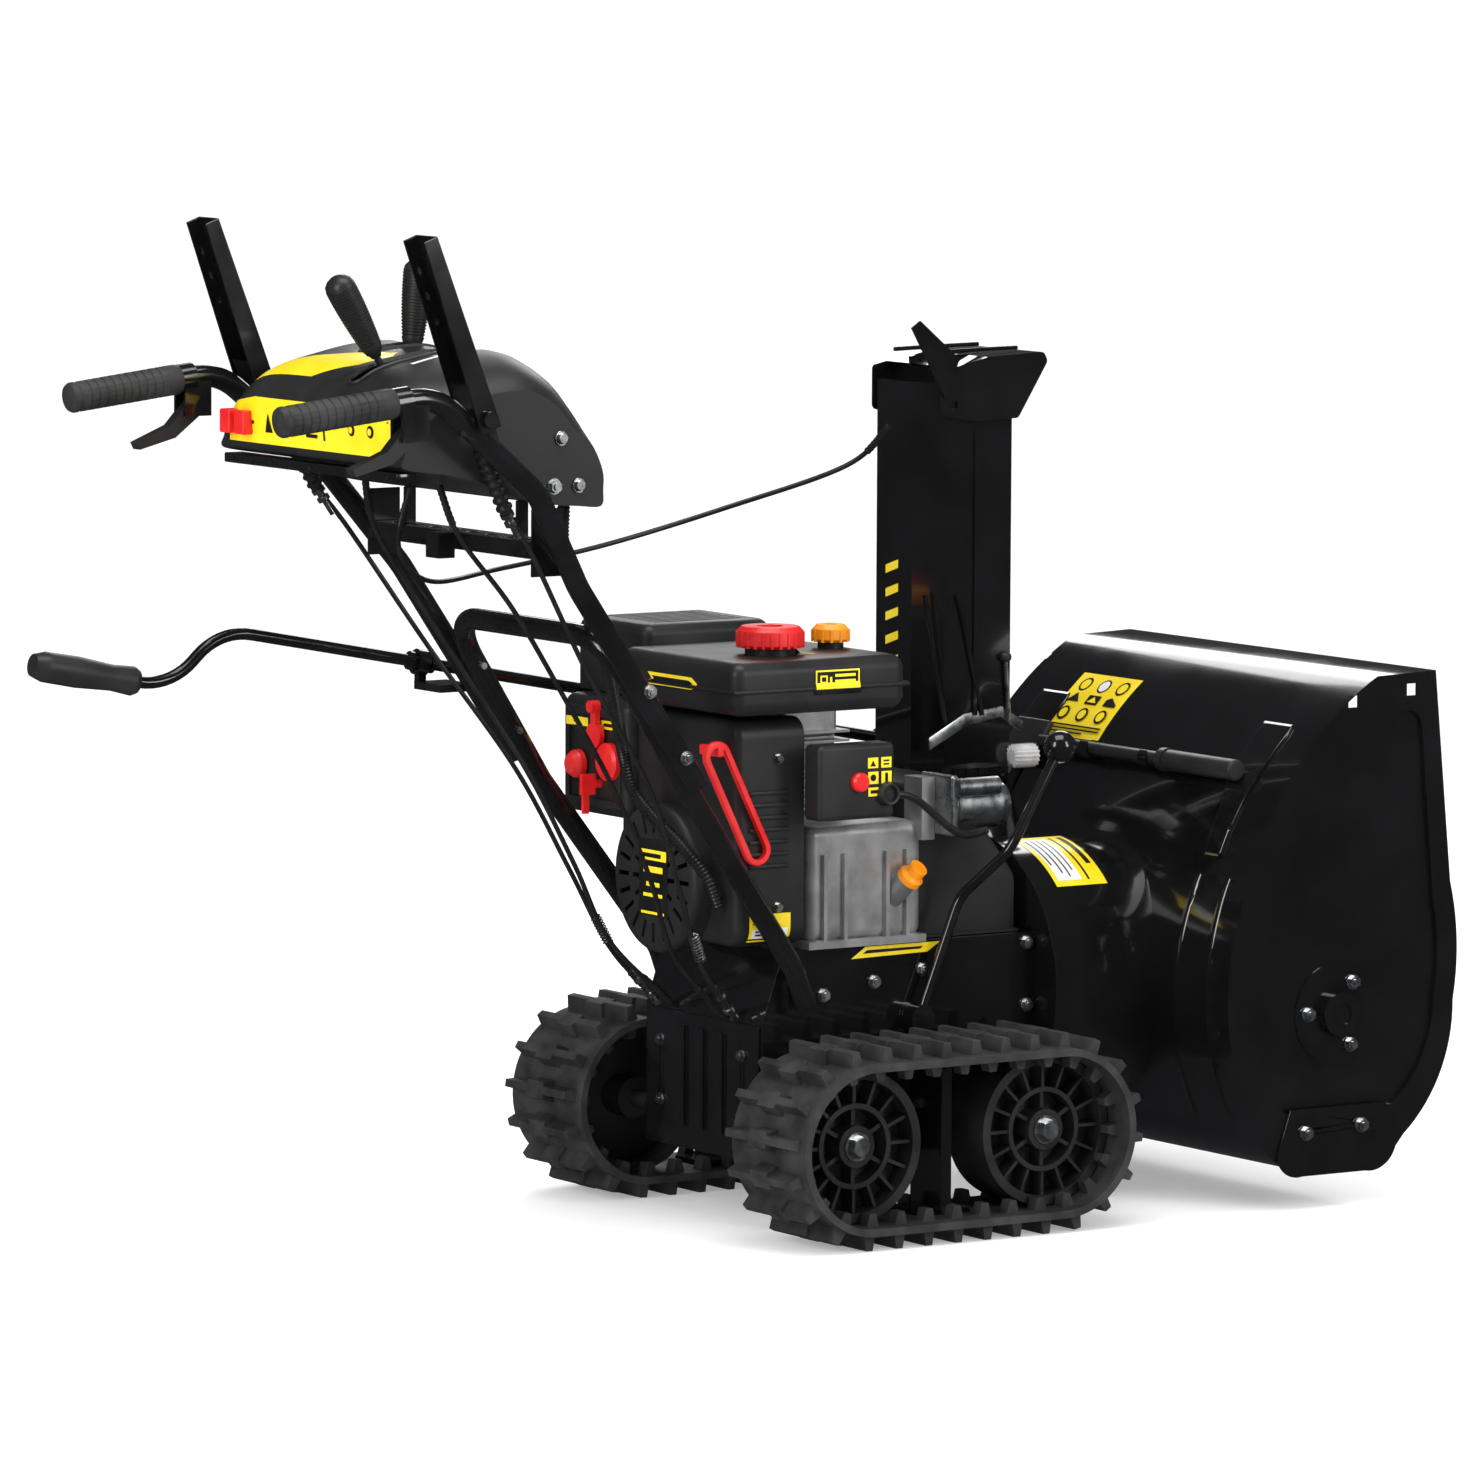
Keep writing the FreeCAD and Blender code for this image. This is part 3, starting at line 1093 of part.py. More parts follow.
def handle_path(side):
    x = side * (S.leg_x + 2 * S.tube_radius + 0.2)
    end = Vector(side * (S.grip_x - 5), S.grip_end_y, S.grip_end_z)
    return [Vector(x, -166, 527), Vector(x, -326, 757), Vector(side * (S.grip_x - 8), -404, 868),
            Vector(side * S.grip_x, -540, 980), end]


def handlebars():
    """The two upper tubes, the cross tube, the lever brackets and the eyes that hold the crank's rod."""
    tubes = []
    for side in (-1, 1):
        tubes.append(round_sweep(path_wire(handle_path(side), 0.45, 70), S.tube_radius))
        x = side * S.grip_x
        y, z = S.lever_pivot_y, S.lever_pivot_z
        cheek = polygon_prism(((y - 26, z - 16), (y + 30, z - 42), (y + 12, z + 10), (y - 12, z + 12)),
                              x - 6, x + 6)
        pin = cylinder(S.lever_bolt_radius, 58, Vector(x - 29, y, z), X)
        heads = [cylinder(9, 4, Vector(x + way * 26, y, z), X * way) for way in (-1, 1)]
        tubes += [cheek, pin] + heads
    ring, arm = crank_bracket()
    frame = drilled(union(tubes + [ring, arm]))
    feature("handlebars", Part.makeCompound(frame.Solids + trigger_housings()))


def handle_grips():
    grips = []
    for side in (-1, 1):
        points = handle_path(side)
        way = (points[-1] - points[-2]).normalize()
        end = points[-1]
        outer = rounded(cylinder(S.grip_radius, S.grip_long + 3, end - way * (S.grip_long - 3), way), 4)
        collar = cylinder(S.grip_radius + 3, 6, end - way * (S.grip_long - 3), way)
        bore = cylinder(S.tube_radius, S.grip_long + 10, end - way * (S.grip_long + 10), way)
        grips.append(outer.fuse(collar).cut(bore))
    feature("handle_grips", Part.makeCompound(grips))


# ---------------------------------------------------------------- console
def console_corners(inset=0.0):
    i = inset
    return ((-556 + i, 898 + i), (-562 + i, 964 - i * 0.3), (-520 + i * 0.6, 1001 - i), (-392, 1019 - i),
            (-318 - i * 0.6, 968 - i * 0.6), (-298 - i, 884), (-300 - i, 846 + i), (-398, 858 + i),
            (-470, 884 + i))


def console():
    half, wall = S.console_half_width, S.console_wall
    outer = rounded(polygon_prism(console_corners(), -half, half), 10, lambda e: e.BoundBox.ZMax > 950)
    inner = polygon_prism(console_corners(wall), wall - half, half - wall)
    opening = block(-half + 14, half - 14, -356, -312, 800, 868)
    shell = outer.cut(inner).cut(opening)
    for x, y0, y1 in lever_slots():
        shell = shell.cut(block(x - 8, x + 8, y0, y1, 960, 1040))
    for x in switch_places():
        shell = shell.cut(block(x - 12, x + 12, -580, -540, 914, 946))
    for x, y, z in lever_roots():
        axle = cylinder(5, 60, Vector(x - 30, y, z), X)
        walls = [block(x + way * 22 - 3, x + way * 22 + 3, y - 10, y + 10, 862, z + 8) for way in (-1, 1)]
        shell = union([shell, axle] + walls)
    feature("console", drilled(shell))


def lever_roots():
    return ((60, -462, 935), (-40, -410, 935))


def lever_slots():
    return ((60, -536, -430), (-40, -462, -356))


def switch_places():
    return (-168, -136)


def switches():
    """Two rocker switches in the rear face of the console."""
    for name, x in zip(("light_switch", "grip_heat_switch"), switch_places()):
        rocker = rounded(block(x - 11, x + 11, -572, -552, 916.5, 943.5), 2.5)
        feature(name, rocker)


def console_tray():
    """The cross member under the console, with its row of holes and the shift bracket."""
    x = S.leg_x + 2 * S.tube_radius - S.tube_radius - 1
    tray = block(-x, x, -378, -336, 806, 809)
    lips = [block(-x, x, y, y + 3, 790, 809) for y in (-378, -339)]
    tabs = [block(side * x - (3 if side > 0 else 0), side * x + (3 if side < 0 else 0), -378, -336, 770,
                  846) for side in (-1, 1)]
    holes = [cylinder(8, 20, Vector(px, -357, 800), Z) for px in range(-140, 141, 40)]
    bracket = block(-14, 14, -400, -378, 780, 809)
    posts = [block(px - 4, px + 4, -362, -350, 809, 851) for px in (-120, 120)]
    feature("console_tray", union([tray, bracket] + lips + tabs + posts).cut(Part.makeCompound(holes)))


def headlight():
    body = rounded(block(-60, 60, -298, -262, 866, 926), 14)
    feature("headlight", body)


# ---------------------------------------------------------------- levers
def clutch_lever(side):
    """A folded blade on two cheeks that straddle the handle tube."""
    y, z, x = S.lever_pivot_y, S.lever_pivot_z, side * S.grip_x
    half = S.grip_radius + S.lever_gap + 1.5
    thick = S.lever_plate
    way = Vector(0, -59, 158).normalize()
    across = Vector(0, way.z, -way.y)
    pivot, tip = Vector(0, y, z), Vector(0, y, z) + way * 212
    foot = [pivot - way * 13 - across * 13, pivot - way * 13 + across * 13,
            tip - way * 150 + across * 12, tip + across * 9,
            tip - across * 9, tip - way * 150 - across * 12]
    profile = Part.Face(Part.makePolygon(foot + foot[:1]))
    profile.translate(Vector(x - half - thick, 0, 0))
    outer = profile.extrude(Vector(2 * (half + thick), 0, 0))
    inner = polygon_prism([(p.y, p.z)
                           for p in (pivot - way * 40 - across * 60, pivot - way * 40 + across * 60,
                                     pivot + way * 34 + across * 60, pivot + way * 34 + across * 10.5,
                                     tip + way * 20 + across * 6.5, tip + way * 20 - across * 60)],
                          x - half, x + half)
    lever = outer.cut(inner)
    bore = cylinder(S.lever_bolt_radius + S.running_clearance, 90, Vector(x - 45, y, z), X)
    holes = [cylinder(4.5, 60, pivot + X * x + way * d - across * 30, across) for d in (110, 140, 170)]
    return lever.cut(bore).cut(Part.makeCompound(holes))


def clutch_levers():
    feature("auger_clutch_lever", clutch_lever(-1))
    feature("drive_clutch_lever", clutch_lever(1))


def steering_triggers():
    """A finger lever under each grip, on a pin across the tube."""
    for name, side in (("left", -1), ("right", 1)):
        x = side * S.grip_x
        pivot = Vector(x, -573, 944)
        arm = polygon_prism(((-563, 946), (-566, 934), (-600, 908), (-646, 896), (-650, 904),
                             (-606, 922), (-580, 950)), x - 8, x + 8)
        ears = cylinder(9, 16, pivot - X * 8, X)
        trigger = arm.fuse(ears).cut(cylinder(4 + S.running_clearance, 60, pivot - X * 30, X))
        feature(name + "_steering_trigger", trigger)


def trigger_housings():
    """The clamp on each tube that holds the trigger's pin."""
    pieces = []
    for side in (-1, 1):
        x = side * S.grip_x
        points = handle_path(side)
        way = (points[-1] - points[-2]).normalize()
        start = Vector(x, -573, 944)
        cheeks = [block(x + offset - 2, x + offset + 2, -590, -556, 932, 972) for offset in (-11, 11)]
        pin = cylinder(4, 26, start - X * 13, X)
        at = points[-1] - way * (S.grip_long + 5)
        clamp = cylinder(S.tube_radius + 4, 22, at - way * 11, way)
        bore = cylinder(S.tube_radius, 100, at - way * 50, way)
        grip = cylinder(S.grip_radius + 4, 100, points[-1] - way * (S.grip_long - 2.9), way)
        pieces.append(union(cheeks + [pin, clamp]).cut(grip).cut(bore))
    return pieces


def console_levers():
    """Speed and deflector levers with ribbed knobs, turning on pins inside the console."""
    for name, (x, y, z), tip in (("speed_lever", lever_roots()[0], Vector(60, -540, 1064)),
                                 ("deflector_lever", lever_roots()[1], Vector(-40, -396, 1076))):
        root = Vector(x, y, z)
        way = (tip - root).normalize()
        stem = bar(S.lever_stem_radius, root + way * 6, tip)
        boss = cylinder(12, 24, root - X * 12, X)
        base = tip - way * 44
        knob = Part.makeCone(S.knob_radius * 0.62, S.knob_radius, S.knob_long * 0.62, base, way)
        crown = Part.makeCone(S.knob_radius, S.knob_radius * 0.7, S.knob_long * 0.2,
                              base + way * S.knob_long * 0.62, way)
        bore = cylinder(5 + S.running_clearance, 80, root - X * 40, X)
        lever = union([stem, boss, knob, crown]).cut(bore)
        feature(name, lever)


def height_lever():
    pivot = lever_pivot()
    x = pivot.x
    path = [Vector(x + 11, 173, 235), Vector(x + 11, 228, 372), Vector(200, 256, 431),
            Vector(200, 325 - 8, 546 - 13)]
    rod = round_sweep(path_wire(path, 0.45, 40), S.height_rod_radius)
    boss = cylinder(16, 19, pivot + X * 1, X)
    pin = cylinder(9, 22, pivot - X * 8, X)
    ball = Part.makeSphere(S.ball_radius, Vector(200, 325, 546))
    ball = ball.cut(cylinder(60, 6, Vector(200, 325 - 11, 546 - 18), Vector(0, -69, -115)))
    feature("height_lever", union([rod, boss, pin, ball]))


# ---------------------------------------------------------------- clean-out tool
def tool_axis():
    """Height and distance of the parked clean-out tool, just behind the housing's back."""
    return 560, 508


def clean_out_tool():
    """A scoop on a rod with a thick grip, parked in two clips behind the housing."""
    y, z = tool_axis()
    rod = cylinder(8, 260, Vector(-170, y, z), X)
    grip = rounded(cylinder(12.5, 136, Vector(88, y, z), X), 3)
    stop = cylinder(14, 10, Vector(78, y, z), X)
    blade = rounded(block(-232, -166, y - 5, y + 5, z - 26, z + 26), 3)
    blade = turned(blade, -30, Vector(0, y, z))
    feature("clean_out_tool", union([rod, grip, stop, blade]))


def tool_clips():
    clips = []
    y, z = tool_axis()
    for x in (-70, 50):
        ring = cylinder(12, 16, Vector(x - 8, y, z), X)
        ring = ring.cut(cylinder(8 + S.running_clearance, 30, Vector(x - 15, y, z), X))
        ring = ring.cut(block(x - 20, x + 20, y - 8.2, y + 8.2, z, z + 30))
        post = block(x - 8, x + 8, y + 9, y + 28, z - 8, z)
        clips.append(union([ring, post]))
    return clips


# ---------------------------------------------------------------- cables
def cable_routes():
    """Each cable's points, chosen along its real route, from the levers down to the case."""
    right = [Vector(212, -470, 925), Vector(206, -440, 862), Vector(196, -392, 800), Vector(168, -300, 660),
             Vector(144, -200, 520), Vector(116, -142, 400), Vector(96, -100, 310), Vector(80, -44, 246)]
    left = [Vector(-p.x, p.y, p.z) for p in right]
    inner = [Vector(80, -440, 868), Vector(92, -420, 810), Vector(106, -360, 730), Vector(100, -290, 630),
             Vector(90, -216, 520), Vector(80, -158, 410), Vector(66, -118, 320), Vector(50, -44, 246)]
    deflector = [Vector(-40, -404, 857), Vector(-52, -412, 790), Vector(-120, -330, 742),
                 Vector(-240, -160, 740),
                 Vector(-262, 0, 760), Vector(-232, 150, 800), Vector(-150, 262, 850),
                 Vector(-96, 288, 900)]
    return (right, left, inner, deflector)


def control_cables():
    sweeps = [round_sweep(path_wire(route), S.cable_radius) for route in cable_routes()]
    feature("control_cables", Part.makeCompound(sweeps))


def wiring_harness():
    harness = [Vector(150, -320, 850), Vector(140, -312, 790), Vector(112, -262, 722),
               Vector(72, -214, 660),
               Vector(30, -172, 592), Vector(4, -146, 545), Vector(10, -138, 505), Vector(44, -130, 474),
               Vector(82, -118, 446), Vector(106, -98, 410), Vector(110, -85, 376)]
    starter = [Vector(176, 104.8, 500), Vector(177, 136, 494), Vector(174, 172, 458), Vector(176, 212, 440),
               Vector(172, 244, 452)]
    sweeps = [round_sweep(path_wire(harness), S.harness_radius), round_sweep(path_wire(starter), 4.5)]
    feature("wiring_harness", Part.makeCompound(sweeps))


# ---------------------------------------------------------------- assembly
def track_belts():
    belt = track_belt()
    for name, side in (("left", -1), ("right", 1)):
        copy = belt if side > 0 else mirrored(belt)
        feature(name + "_track_belt", moved(copy, X * side * S.track_x, Rotation()))


def side_plates():
    feature("housing_side_plates", both_sides(side_plate()))


def skid_shoes():
    feature("skid_shoes", both_sides(skid_shoe()))


MAKERS = (
    fasteners, track_belts, track_beams, sprockets_and_idlers, chassis_case, rear_cover, transmission,
    auger_housing_shell,
    side_plates, skid_shoes, scraper_bar, impeller_drum, impeller, auger_gearbox, auger, crankshaft,
    chute, chute_hood,
    chute_crank, engine_block, engine_shroud, recoil_cover, fuel_tank, engine_caps, muffler_guard,
    engine_control_panel, panel_controls, recoil_handle, starter_motor, starter_switch_box, starter_button,
    belt_cover, lower_handle, handlebars, handle_grips, console, switches, console_tray, headlight,
    clutch_levers,
    steering_triggers, console_levers, height_lever, clean_out_tool, control_cables,
    wiring_harness)


def check():
    """Stops before anything is written if an object failed or a sub-part is not a valid solid."""
    DOC.recompute()
    for obj in DOC.Objects:
        failed = {"Invalid", "Error"} & set(obj.State)
        if failed:
            raise RuntimeError(f"{obj.Label}: {failed}")
    for obj in SUBPARTS:
        if obj.Shape.isNull() or not obj.Shape.isValid() or not obj.Shape.Solids:
            raise RuntimeError(f"{obj.Label} is not a valid solid")


def export():
    os.makedirs("parts", exist_ok=True)
    for obj in SUBPARTS:
        obj.Shape.exportStep(f"parts/{obj.Label}.step")
    print(len(SUBPARTS), "sub-parts")


for make in MAKERS:
    make()
check()
export()
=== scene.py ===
"""Looks for the two-stage tracked snowblower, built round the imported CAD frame.

The drawings give millimetres with y measured from the rear track axle, so `at()`
turns a drawing point into metres in the row frame, where every piece is placed.
"""

import json
import math

import bmesh
import bpy
from mathutils import Matrix, Vector
from mathutils.bvhtree import BVHTree


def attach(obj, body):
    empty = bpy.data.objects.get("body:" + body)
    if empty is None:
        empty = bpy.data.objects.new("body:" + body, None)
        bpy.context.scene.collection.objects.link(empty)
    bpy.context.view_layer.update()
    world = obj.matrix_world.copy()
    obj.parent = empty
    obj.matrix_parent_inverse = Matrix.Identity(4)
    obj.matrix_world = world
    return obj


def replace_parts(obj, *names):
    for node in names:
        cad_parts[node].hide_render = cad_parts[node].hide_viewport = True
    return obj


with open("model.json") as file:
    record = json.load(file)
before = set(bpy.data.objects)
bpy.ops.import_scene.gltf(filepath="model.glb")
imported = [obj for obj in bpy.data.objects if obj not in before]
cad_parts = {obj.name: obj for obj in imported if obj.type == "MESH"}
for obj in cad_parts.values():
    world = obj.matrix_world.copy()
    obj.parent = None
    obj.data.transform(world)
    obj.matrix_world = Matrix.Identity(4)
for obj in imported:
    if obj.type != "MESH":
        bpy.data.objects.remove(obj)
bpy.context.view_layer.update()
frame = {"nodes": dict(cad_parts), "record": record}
nodes = frame["nodes"]

MM = 0.001
AXLE_TO_ROW = 29.476
X, Y, Z = Vector((1, 0, 0)), Vector((0, 1, 0)), Vector((0, 0, 1))


def at(x, y, z):
    """A drawing point in millimetres, as metres in the row frame."""
    return Vector((x, y - AXLE_TO_ROW, z)) * MM


# ---------------------------------------------------------------- materials

def new_material(name):
    material = bpy.data.materials.new(name)
    material.use_nodes = True
    tree = material.node_tree
    shader = tree.nodes["Principled BSDF"]
    return material, tree, shader


def add(tree, kind, inputs=(), **settings):
    """A node with settings, and inputs given as (socket, value or other socket)."""
    node = tree.nodes.new(kind)
    for key, value in settings.items():
        setattr(node, key, value)
    for socket, value in dict(inputs).items():
        if isinstance(value, bpy.types.NodeSocket):
            tree.links.new(value, node.inputs[socket])
        else:
            node.inputs[socket].default_value = value
    return node


def object_noise(tree, scale, detail=4.0, roughness=0.55):
    place = add(tree, "ShaderNodeTexCoord")
    return add(tree, "ShaderNodeTexNoise", {
        "Vector": place.outputs["Object"], "Scale": scale, "Detail": detail, "Roughness": roughness,
    }).outputs["Fac"]


def ramp(tree, factor, stops):
    node = add(tree, "ShaderNodeValToRGB", {"Fac": factor})
    node.color_ramp.elements[0].position = stops[0][0]
    node.color_ramp.elements[0].color = (*stops[0][1], 1)
    node.color_ramp.elements[1].position = stops[-1][0]
    node.color_ramp.elements[1].color = (*stops[-1][1], 1)
    for position, colour in stops[1:-1]:
        node.color_ramp.elements.new(position).color = (*colour, 1)
    return node.outputs["Color"]


def spread(tree, factor, low, high):
    return add(tree, "ShaderNodeMapRange", {
        "Value": factor, "From Min": 0.3, "From Max": 0.7, "To Min": low, "To Max": high,
    }).outputs["Result"]


def bumped(tree, shader, height, strength, distance):
    bump = add(tree, "ShaderNodeBump", {"Height": height, "Strength": strength, "Distance": distance})
    tree.links.new(bump.outputs["Normal"], shader.inputs["Normal"])


def finish_material(name, dark, light, rough, patch_scale, grain_scale, grain, depth, **constants):
    """Two-tone colour in soft patches, roughness that varies, and a fine surface grain."""
    material, tree, shader = new_material(name)
    patches = object_noise(tree, patch_scale)
    tree.links.new(ramp(tree, patches, ((0.35, dark), (0.68, light))), shader.inputs["Base Color"])
    tree.links.new(spread(tree, patches, *rough), shader.inputs["Roughness"])
    bumped(tree, shader, object_noise(tree, grain_scale, 3.0), grain, depth)
    for key, value in constants.items():
        shader.inputs[key.replace("_", " ")].default_value = value
    return material


def grey(value, blue=1.0):
    return (value, value, value * blue)


MATERIALS = {
    "gloss_black_paint": finish_material(
        "gloss_black_paint", grey(0.0035), grey(0.0065, 1.1), (0.09, 0.17), 9.0, 240.0, 0.05, 0.0004,
        Coat_Weight=0.7, Coat_Roughness=0.05),
    "black_tube_paint": finish_material(
        "black_tube_paint", grey(0.004), grey(0.008, 1.1), (0.12, 0.22), 14.0, 320.0, 0.05, 0.0003,
        Coat_Weight=0.5, Coat_Roughness=0.08),
    "black_plastic": finish_material(
        "black_plastic", grey(0.013), grey(0.020, 1.06), (0.36, 0.50), 12.0, 1500.0, 0.20, 0.0003),
    "track_rubber": finish_material(
        "track_rubber", grey(0.020), grey(0.040, 1.08), (0.55, 0.75), 26.0, 700.0, 0.32, 0.0006),
    "wheel_plastic": finish_material(
        "wheel_plastic", grey(0.010), grey(0.020, 1.05), (0.42, 0.62), 20.0, 900.0, 0.30, 0.0004),
    "grip_rubber": finish_material(
        "grip_rubber", grey(0.018), grey(0.032, 1.05), (0.50, 0.66), 30.0, 1300.0, 0.25, 0.0003),
    "zinc_steel": finish_material(
        "zinc_steel", (0.50, 0.53, 0.56), (0.74, 0.75, 0.72), (0.20, 0.38), 60.0, 900.0, 0.10, 0.0002,
        Metallic=1.0),
    "cast_alloy": finish_material(
        "cast_alloy", grey(0.42), grey(0.60, 1.02), (0.38, 0.55), 34.0, 700.0, 0.45, 0.0004, Metallic=0.85),
    "gear_iron": finish_material(
        "gear_iron", grey(0.05), grey(0.10), (0.35, 0.55), 40.0, 600.0, 0.40, 0.0004, Metallic=0.9),
    "red_plastic": finish_material(
        "red_plastic", (0.60, 0.008, 0.010), (0.76, 0.018, 0.016), (0.28, 0.42), 25.0, 1100.0, 0.14, 0.0003,
        Subsurface_Weight=0.06, Subsurface_Scale=0.002),
    "orange_plastic": finish_material(
        "orange_plastic", (0.82, 0.25, 0.004), (0.95, 0.33, 0.008), (0.28, 0.42), 25.0, 1100.0, 0.14, 0.0003,
        Subsurface_Weight=0.06, Subsurface_Scale=0.002),
    "cable_black": finish_material(
        "cable_black", grey(0.008), grey(0.014), (0.30, 0.42), 40.0, 900.0, 0.10, 0.0002),
    "lamp_lens": finish_material(
        "lamp_lens", grey(0.62), grey(0.78), (0.04, 0.10), 30.0, 260.0, 0.20, 0.0004, Coat_Weight=0.8),
    "label_yellow": finish_material(
        "label_yellow", (0.82, 0.60, 0.004), (0.92, 0.70, 0.010), (0.24, 0.36), 18.0, 500.0, 0.06, 0.0002,
        Coat_Weight=0.3),
    # Near-black matte ink for the printed labels; the same colour is also painted shade for the console rail's
    # holes.
    "label_ink": finish_material(
        "label_ink", grey(0.006), grey(0.012), (0.26, 0.38), 30.0, 500.0, 0.06, 0.0002),
    "label_white": finish_material(
        "label_white", grey(0.70), grey(0.80), (0.30, 0.42), 30.0, 500.0, 0.06, 0.0002),
    "nylon_white": finish_material(
        "nylon_white", grey(0.62), grey(0.78), (0.35, 0.5), 60.0, 700.0, 0.15, 0.0003,
        Subsurface_Weight=0.15, Subsurface_Scale=0.003),
    "blued_steel": finish_material(
        "blued_steel", (0.16, 0.19, 0.25), (0.34, 0.36, 0.40), (0.18, 0.32), 70.0, 700.0, 0.08, 0.0002,
        Metallic=1.0),
}

# ---------------------------------------------------------------- mesh tools


def object_from(name, bm, material, body, smooth_angle=32.0):
    """Makes a piece from a bmesh in row-frame metres, shades it by angle and lets it ride."""
    bmesh.ops.recalc_face_normals(bm, faces=bm.faces)
    mesh = bpy.data.meshes.new(name)
    bm.to_mesh(mesh)
    bm.free()
    for face in mesh.polygons:
        face.use_smooth = True
    mesh.set_sharp_from_angle(angle=math.radians(smooth_angle))
    names = material if isinstance(material, (list, tuple)) else [material]
    for one in names:
        mesh.materials.append(MATERIALS[one])
    piece = bpy.data.objects.new(name, mesh)
    bpy.context.scene.collection.objects.link(piece)
    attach(piece, body)
    return piece


def smooth_path(points, steps=10):
    """Points along a Catmull-Rom curve through drawing points, in row metres."""
    knots = [at(*p) for p in points]
    knots = [knots[0] * 2 - knots[1]] + knots + [knots[-1] * 2 - knots[-2]]
    path = []
    for a, b, c, d in zip(knots, knots[1:], knots[2:], knots[3:]):
        for k in range(steps):
            t = k / steps
            path.append(0.5 * (2 * b + (c - a) * t + (2 * a - 5 * b + 4 * c - d) * t ** 2
                               + (3 * b - a - 3 * c + d) * t ** 3))
    path.append(knots[-2])
    return path


def evenly(path, gap):
    """The same path with points an even gap apart, in metres."""
    spots, left = [path[0]], gap
    for a, b in zip(path, path[1:]):
        run = (b - a).length
        while left <= run:
            spots.append(a.lerp(b, left / run))
            left += gap
        left -= run
    return spots


def sweep_rings(name, path, radius_of, material, body, sides=14, flat=1.0, smooth=40.0):
    """A closed skin round a path; radius_of(share, index) gives each ring's radius in mm."""
    bm = bmesh.new()
    rings, across = [], None
    for i, spot in enumerate(path):
        way = (path[min(i + 1, len(path) - 1)] - path[max(i - 1, 0)]).normalized()
        if across is None:
            across = way.orthogonal().normalized()
        across = (across - way * across.dot(way)).normalized()
        other = way.cross(across)
        radius = radius_of(i / (len(path) - 1), i) * MM
        ring = []
        for k in range(sides):
            angle = math.tau * k / sides
            out = across * math.cos(angle) + other * math.sin(angle) * flat
            ring.append(bm.verts.new(spot + out * radius))
        rings.append(ring)
    for low, high in zip(rings, rings[1:]):
        for k in range(sides):
            bm.faces.new((low[k], low[(k + 1) % sides], high[(k + 1) % sides], high[k]))
    bm.faces.new(rings[0])
    bm.faces.new(rings[-1])
    return object_from(name, bm, material, body, smooth)


def tube(name, points, radius, material, body, sides=12):
    path = evenly(smooth_path(points), max(2.5, radius) * MM)
    return sweep_rings(name, path, lambda share, index: radius, material, body, sides)


def turning(name, start, way, profile, material, body, sides=40, wave=None, flat=1.0, smooth=30.0):
    """A turned piece. The profile holds (distance along way, radius) in mm, and wave scales a radius."""
    way = Vector(way).normalized()
    across = way.orthogonal().normalized()
    if abs(way.x) < 0.2:
        across = (X - way * way.x).normalized()
    other = way.cross(across)
    base = at(*start)
    bm = bmesh.new()
    rings = []
    for far, radius in profile:
        ring = []
        for k in range(sides):
            angle = math.tau * k / sides
            size = radius * (wave(angle, far) if wave else 1.0) * MM
            ring.append(bm.verts.new(base + way * far * MM
                                     + (across * math.cos(angle) + other * math.sin(angle) * flat) * size))
        rings.append(ring)
    for low, high in zip(rings, rings[1:]):
        for k in range(sides):
            bm.faces.new((low[k], low[(k + 1) % sides], high[(k + 1) % sides], high[k]))
    bm.faces.new(rings[0])
    bm.faces.new(rings[-1])
    return object_from(name, bm, material, body, smooth)


def coil(name, start, end, radius, wire, turns, material, body):
    """A wound spring between two drawing points, with a straight lead at each end."""
    a, b = at(*start), at(*end)
    way = (b - a).normalized()
    across = way.orthogonal().normalized()
    other = way.cross(across)
    count = turns * 12
    path = [a]
    for i in range(count + 1):
        angle = math.tau * i / 12
        path.append(a.lerp(b, 0.08 + 0.84 * i / count)
                    + (across * math.cos(angle) + other * math.sin(angle)) * radius * MM)
    path.append(b)
    return sweep_rings(name, path, lambda share, index: wire, material, body, 7)


def prism(name, outline, origin, u, v, thick, material, body, round_off=0.8):
    """A plate: outline in mm on the plane origin + u, v, thick along u x v, with rounded edges."""
    u, v = Vector(u).normalized(), Vector(v).normalized()
    out = u.cross(v)
    base = at(*origin)
    bm = bmesh.new()
    low = [bm.verts.new(base + (u * a + v * b) * MM) for a, b in outline]
    face = bm.faces.new(low)
    top = bmesh.ops.extrude_face_region(bm, geom=[face])["geom"]
    bmesh.ops.translate(bm, verts=[g for g in top if isinstance(g, bmesh.types.BMVert)], vec=out * thick * MM)
    bmesh.ops.recalc_face_normals(bm, faces=bm.faces)
    sharp = [e for e in bm.edges if e.calc_face_angle(0) > math.radians(40)]
    if round_off:
        bmesh.ops.bevel(bm, geom=sharp, offset=round_off * MM, segments=2, affect="EDGES", profile=0.6)
    return object_from(name, bm, material, body, 50.0)


def rounded_box(name, low, high, round_off, material, body, segments=3):
    """A block between two drawing points with every edge rounded."""
    (x0, y0, z0), (x1, y1, z1) = low, high
    bm = bmesh.new()
    bmesh.ops.create_cube(bm, size=1.0)
    centre = at((x0 + x1) / 2, (y0 + y1) / 2, (z0 + z1) / 2)
    for vert in bm.verts:
        vert.co = centre + Vector((vert.co.x * (x1 - x0), vert.co.y * (y1 - y0), vert.co.z * (z1 - z0))) * MM
    bmesh.ops.bevel(bm, geom=list(bm.edges), offset=round_off * MM, segments=segments, affect="EDGES",
                    profile=0.5)
    return object_from(name, bm, material, body, 60.0)


def surface_of(*targets):
    """Lookup trees of finished pieces or nodes, for laying labels on them."""
    bpy.context.view_layer.update()
    graph = bpy.context.evaluated_depsgraph_get()
    trees = []
    for target in targets:
        shape = target.evaluated_get(graph)
        mesh = shape.to_mesh()
        corners = [target.matrix_world @ vert.co for vert in mesh.vertices]
        trees.append(BVHTree.FromPolygons(corners, [tuple(face.vertices) for face in mesh.polygons]))
        shape.to_mesh_clear()
    return trees


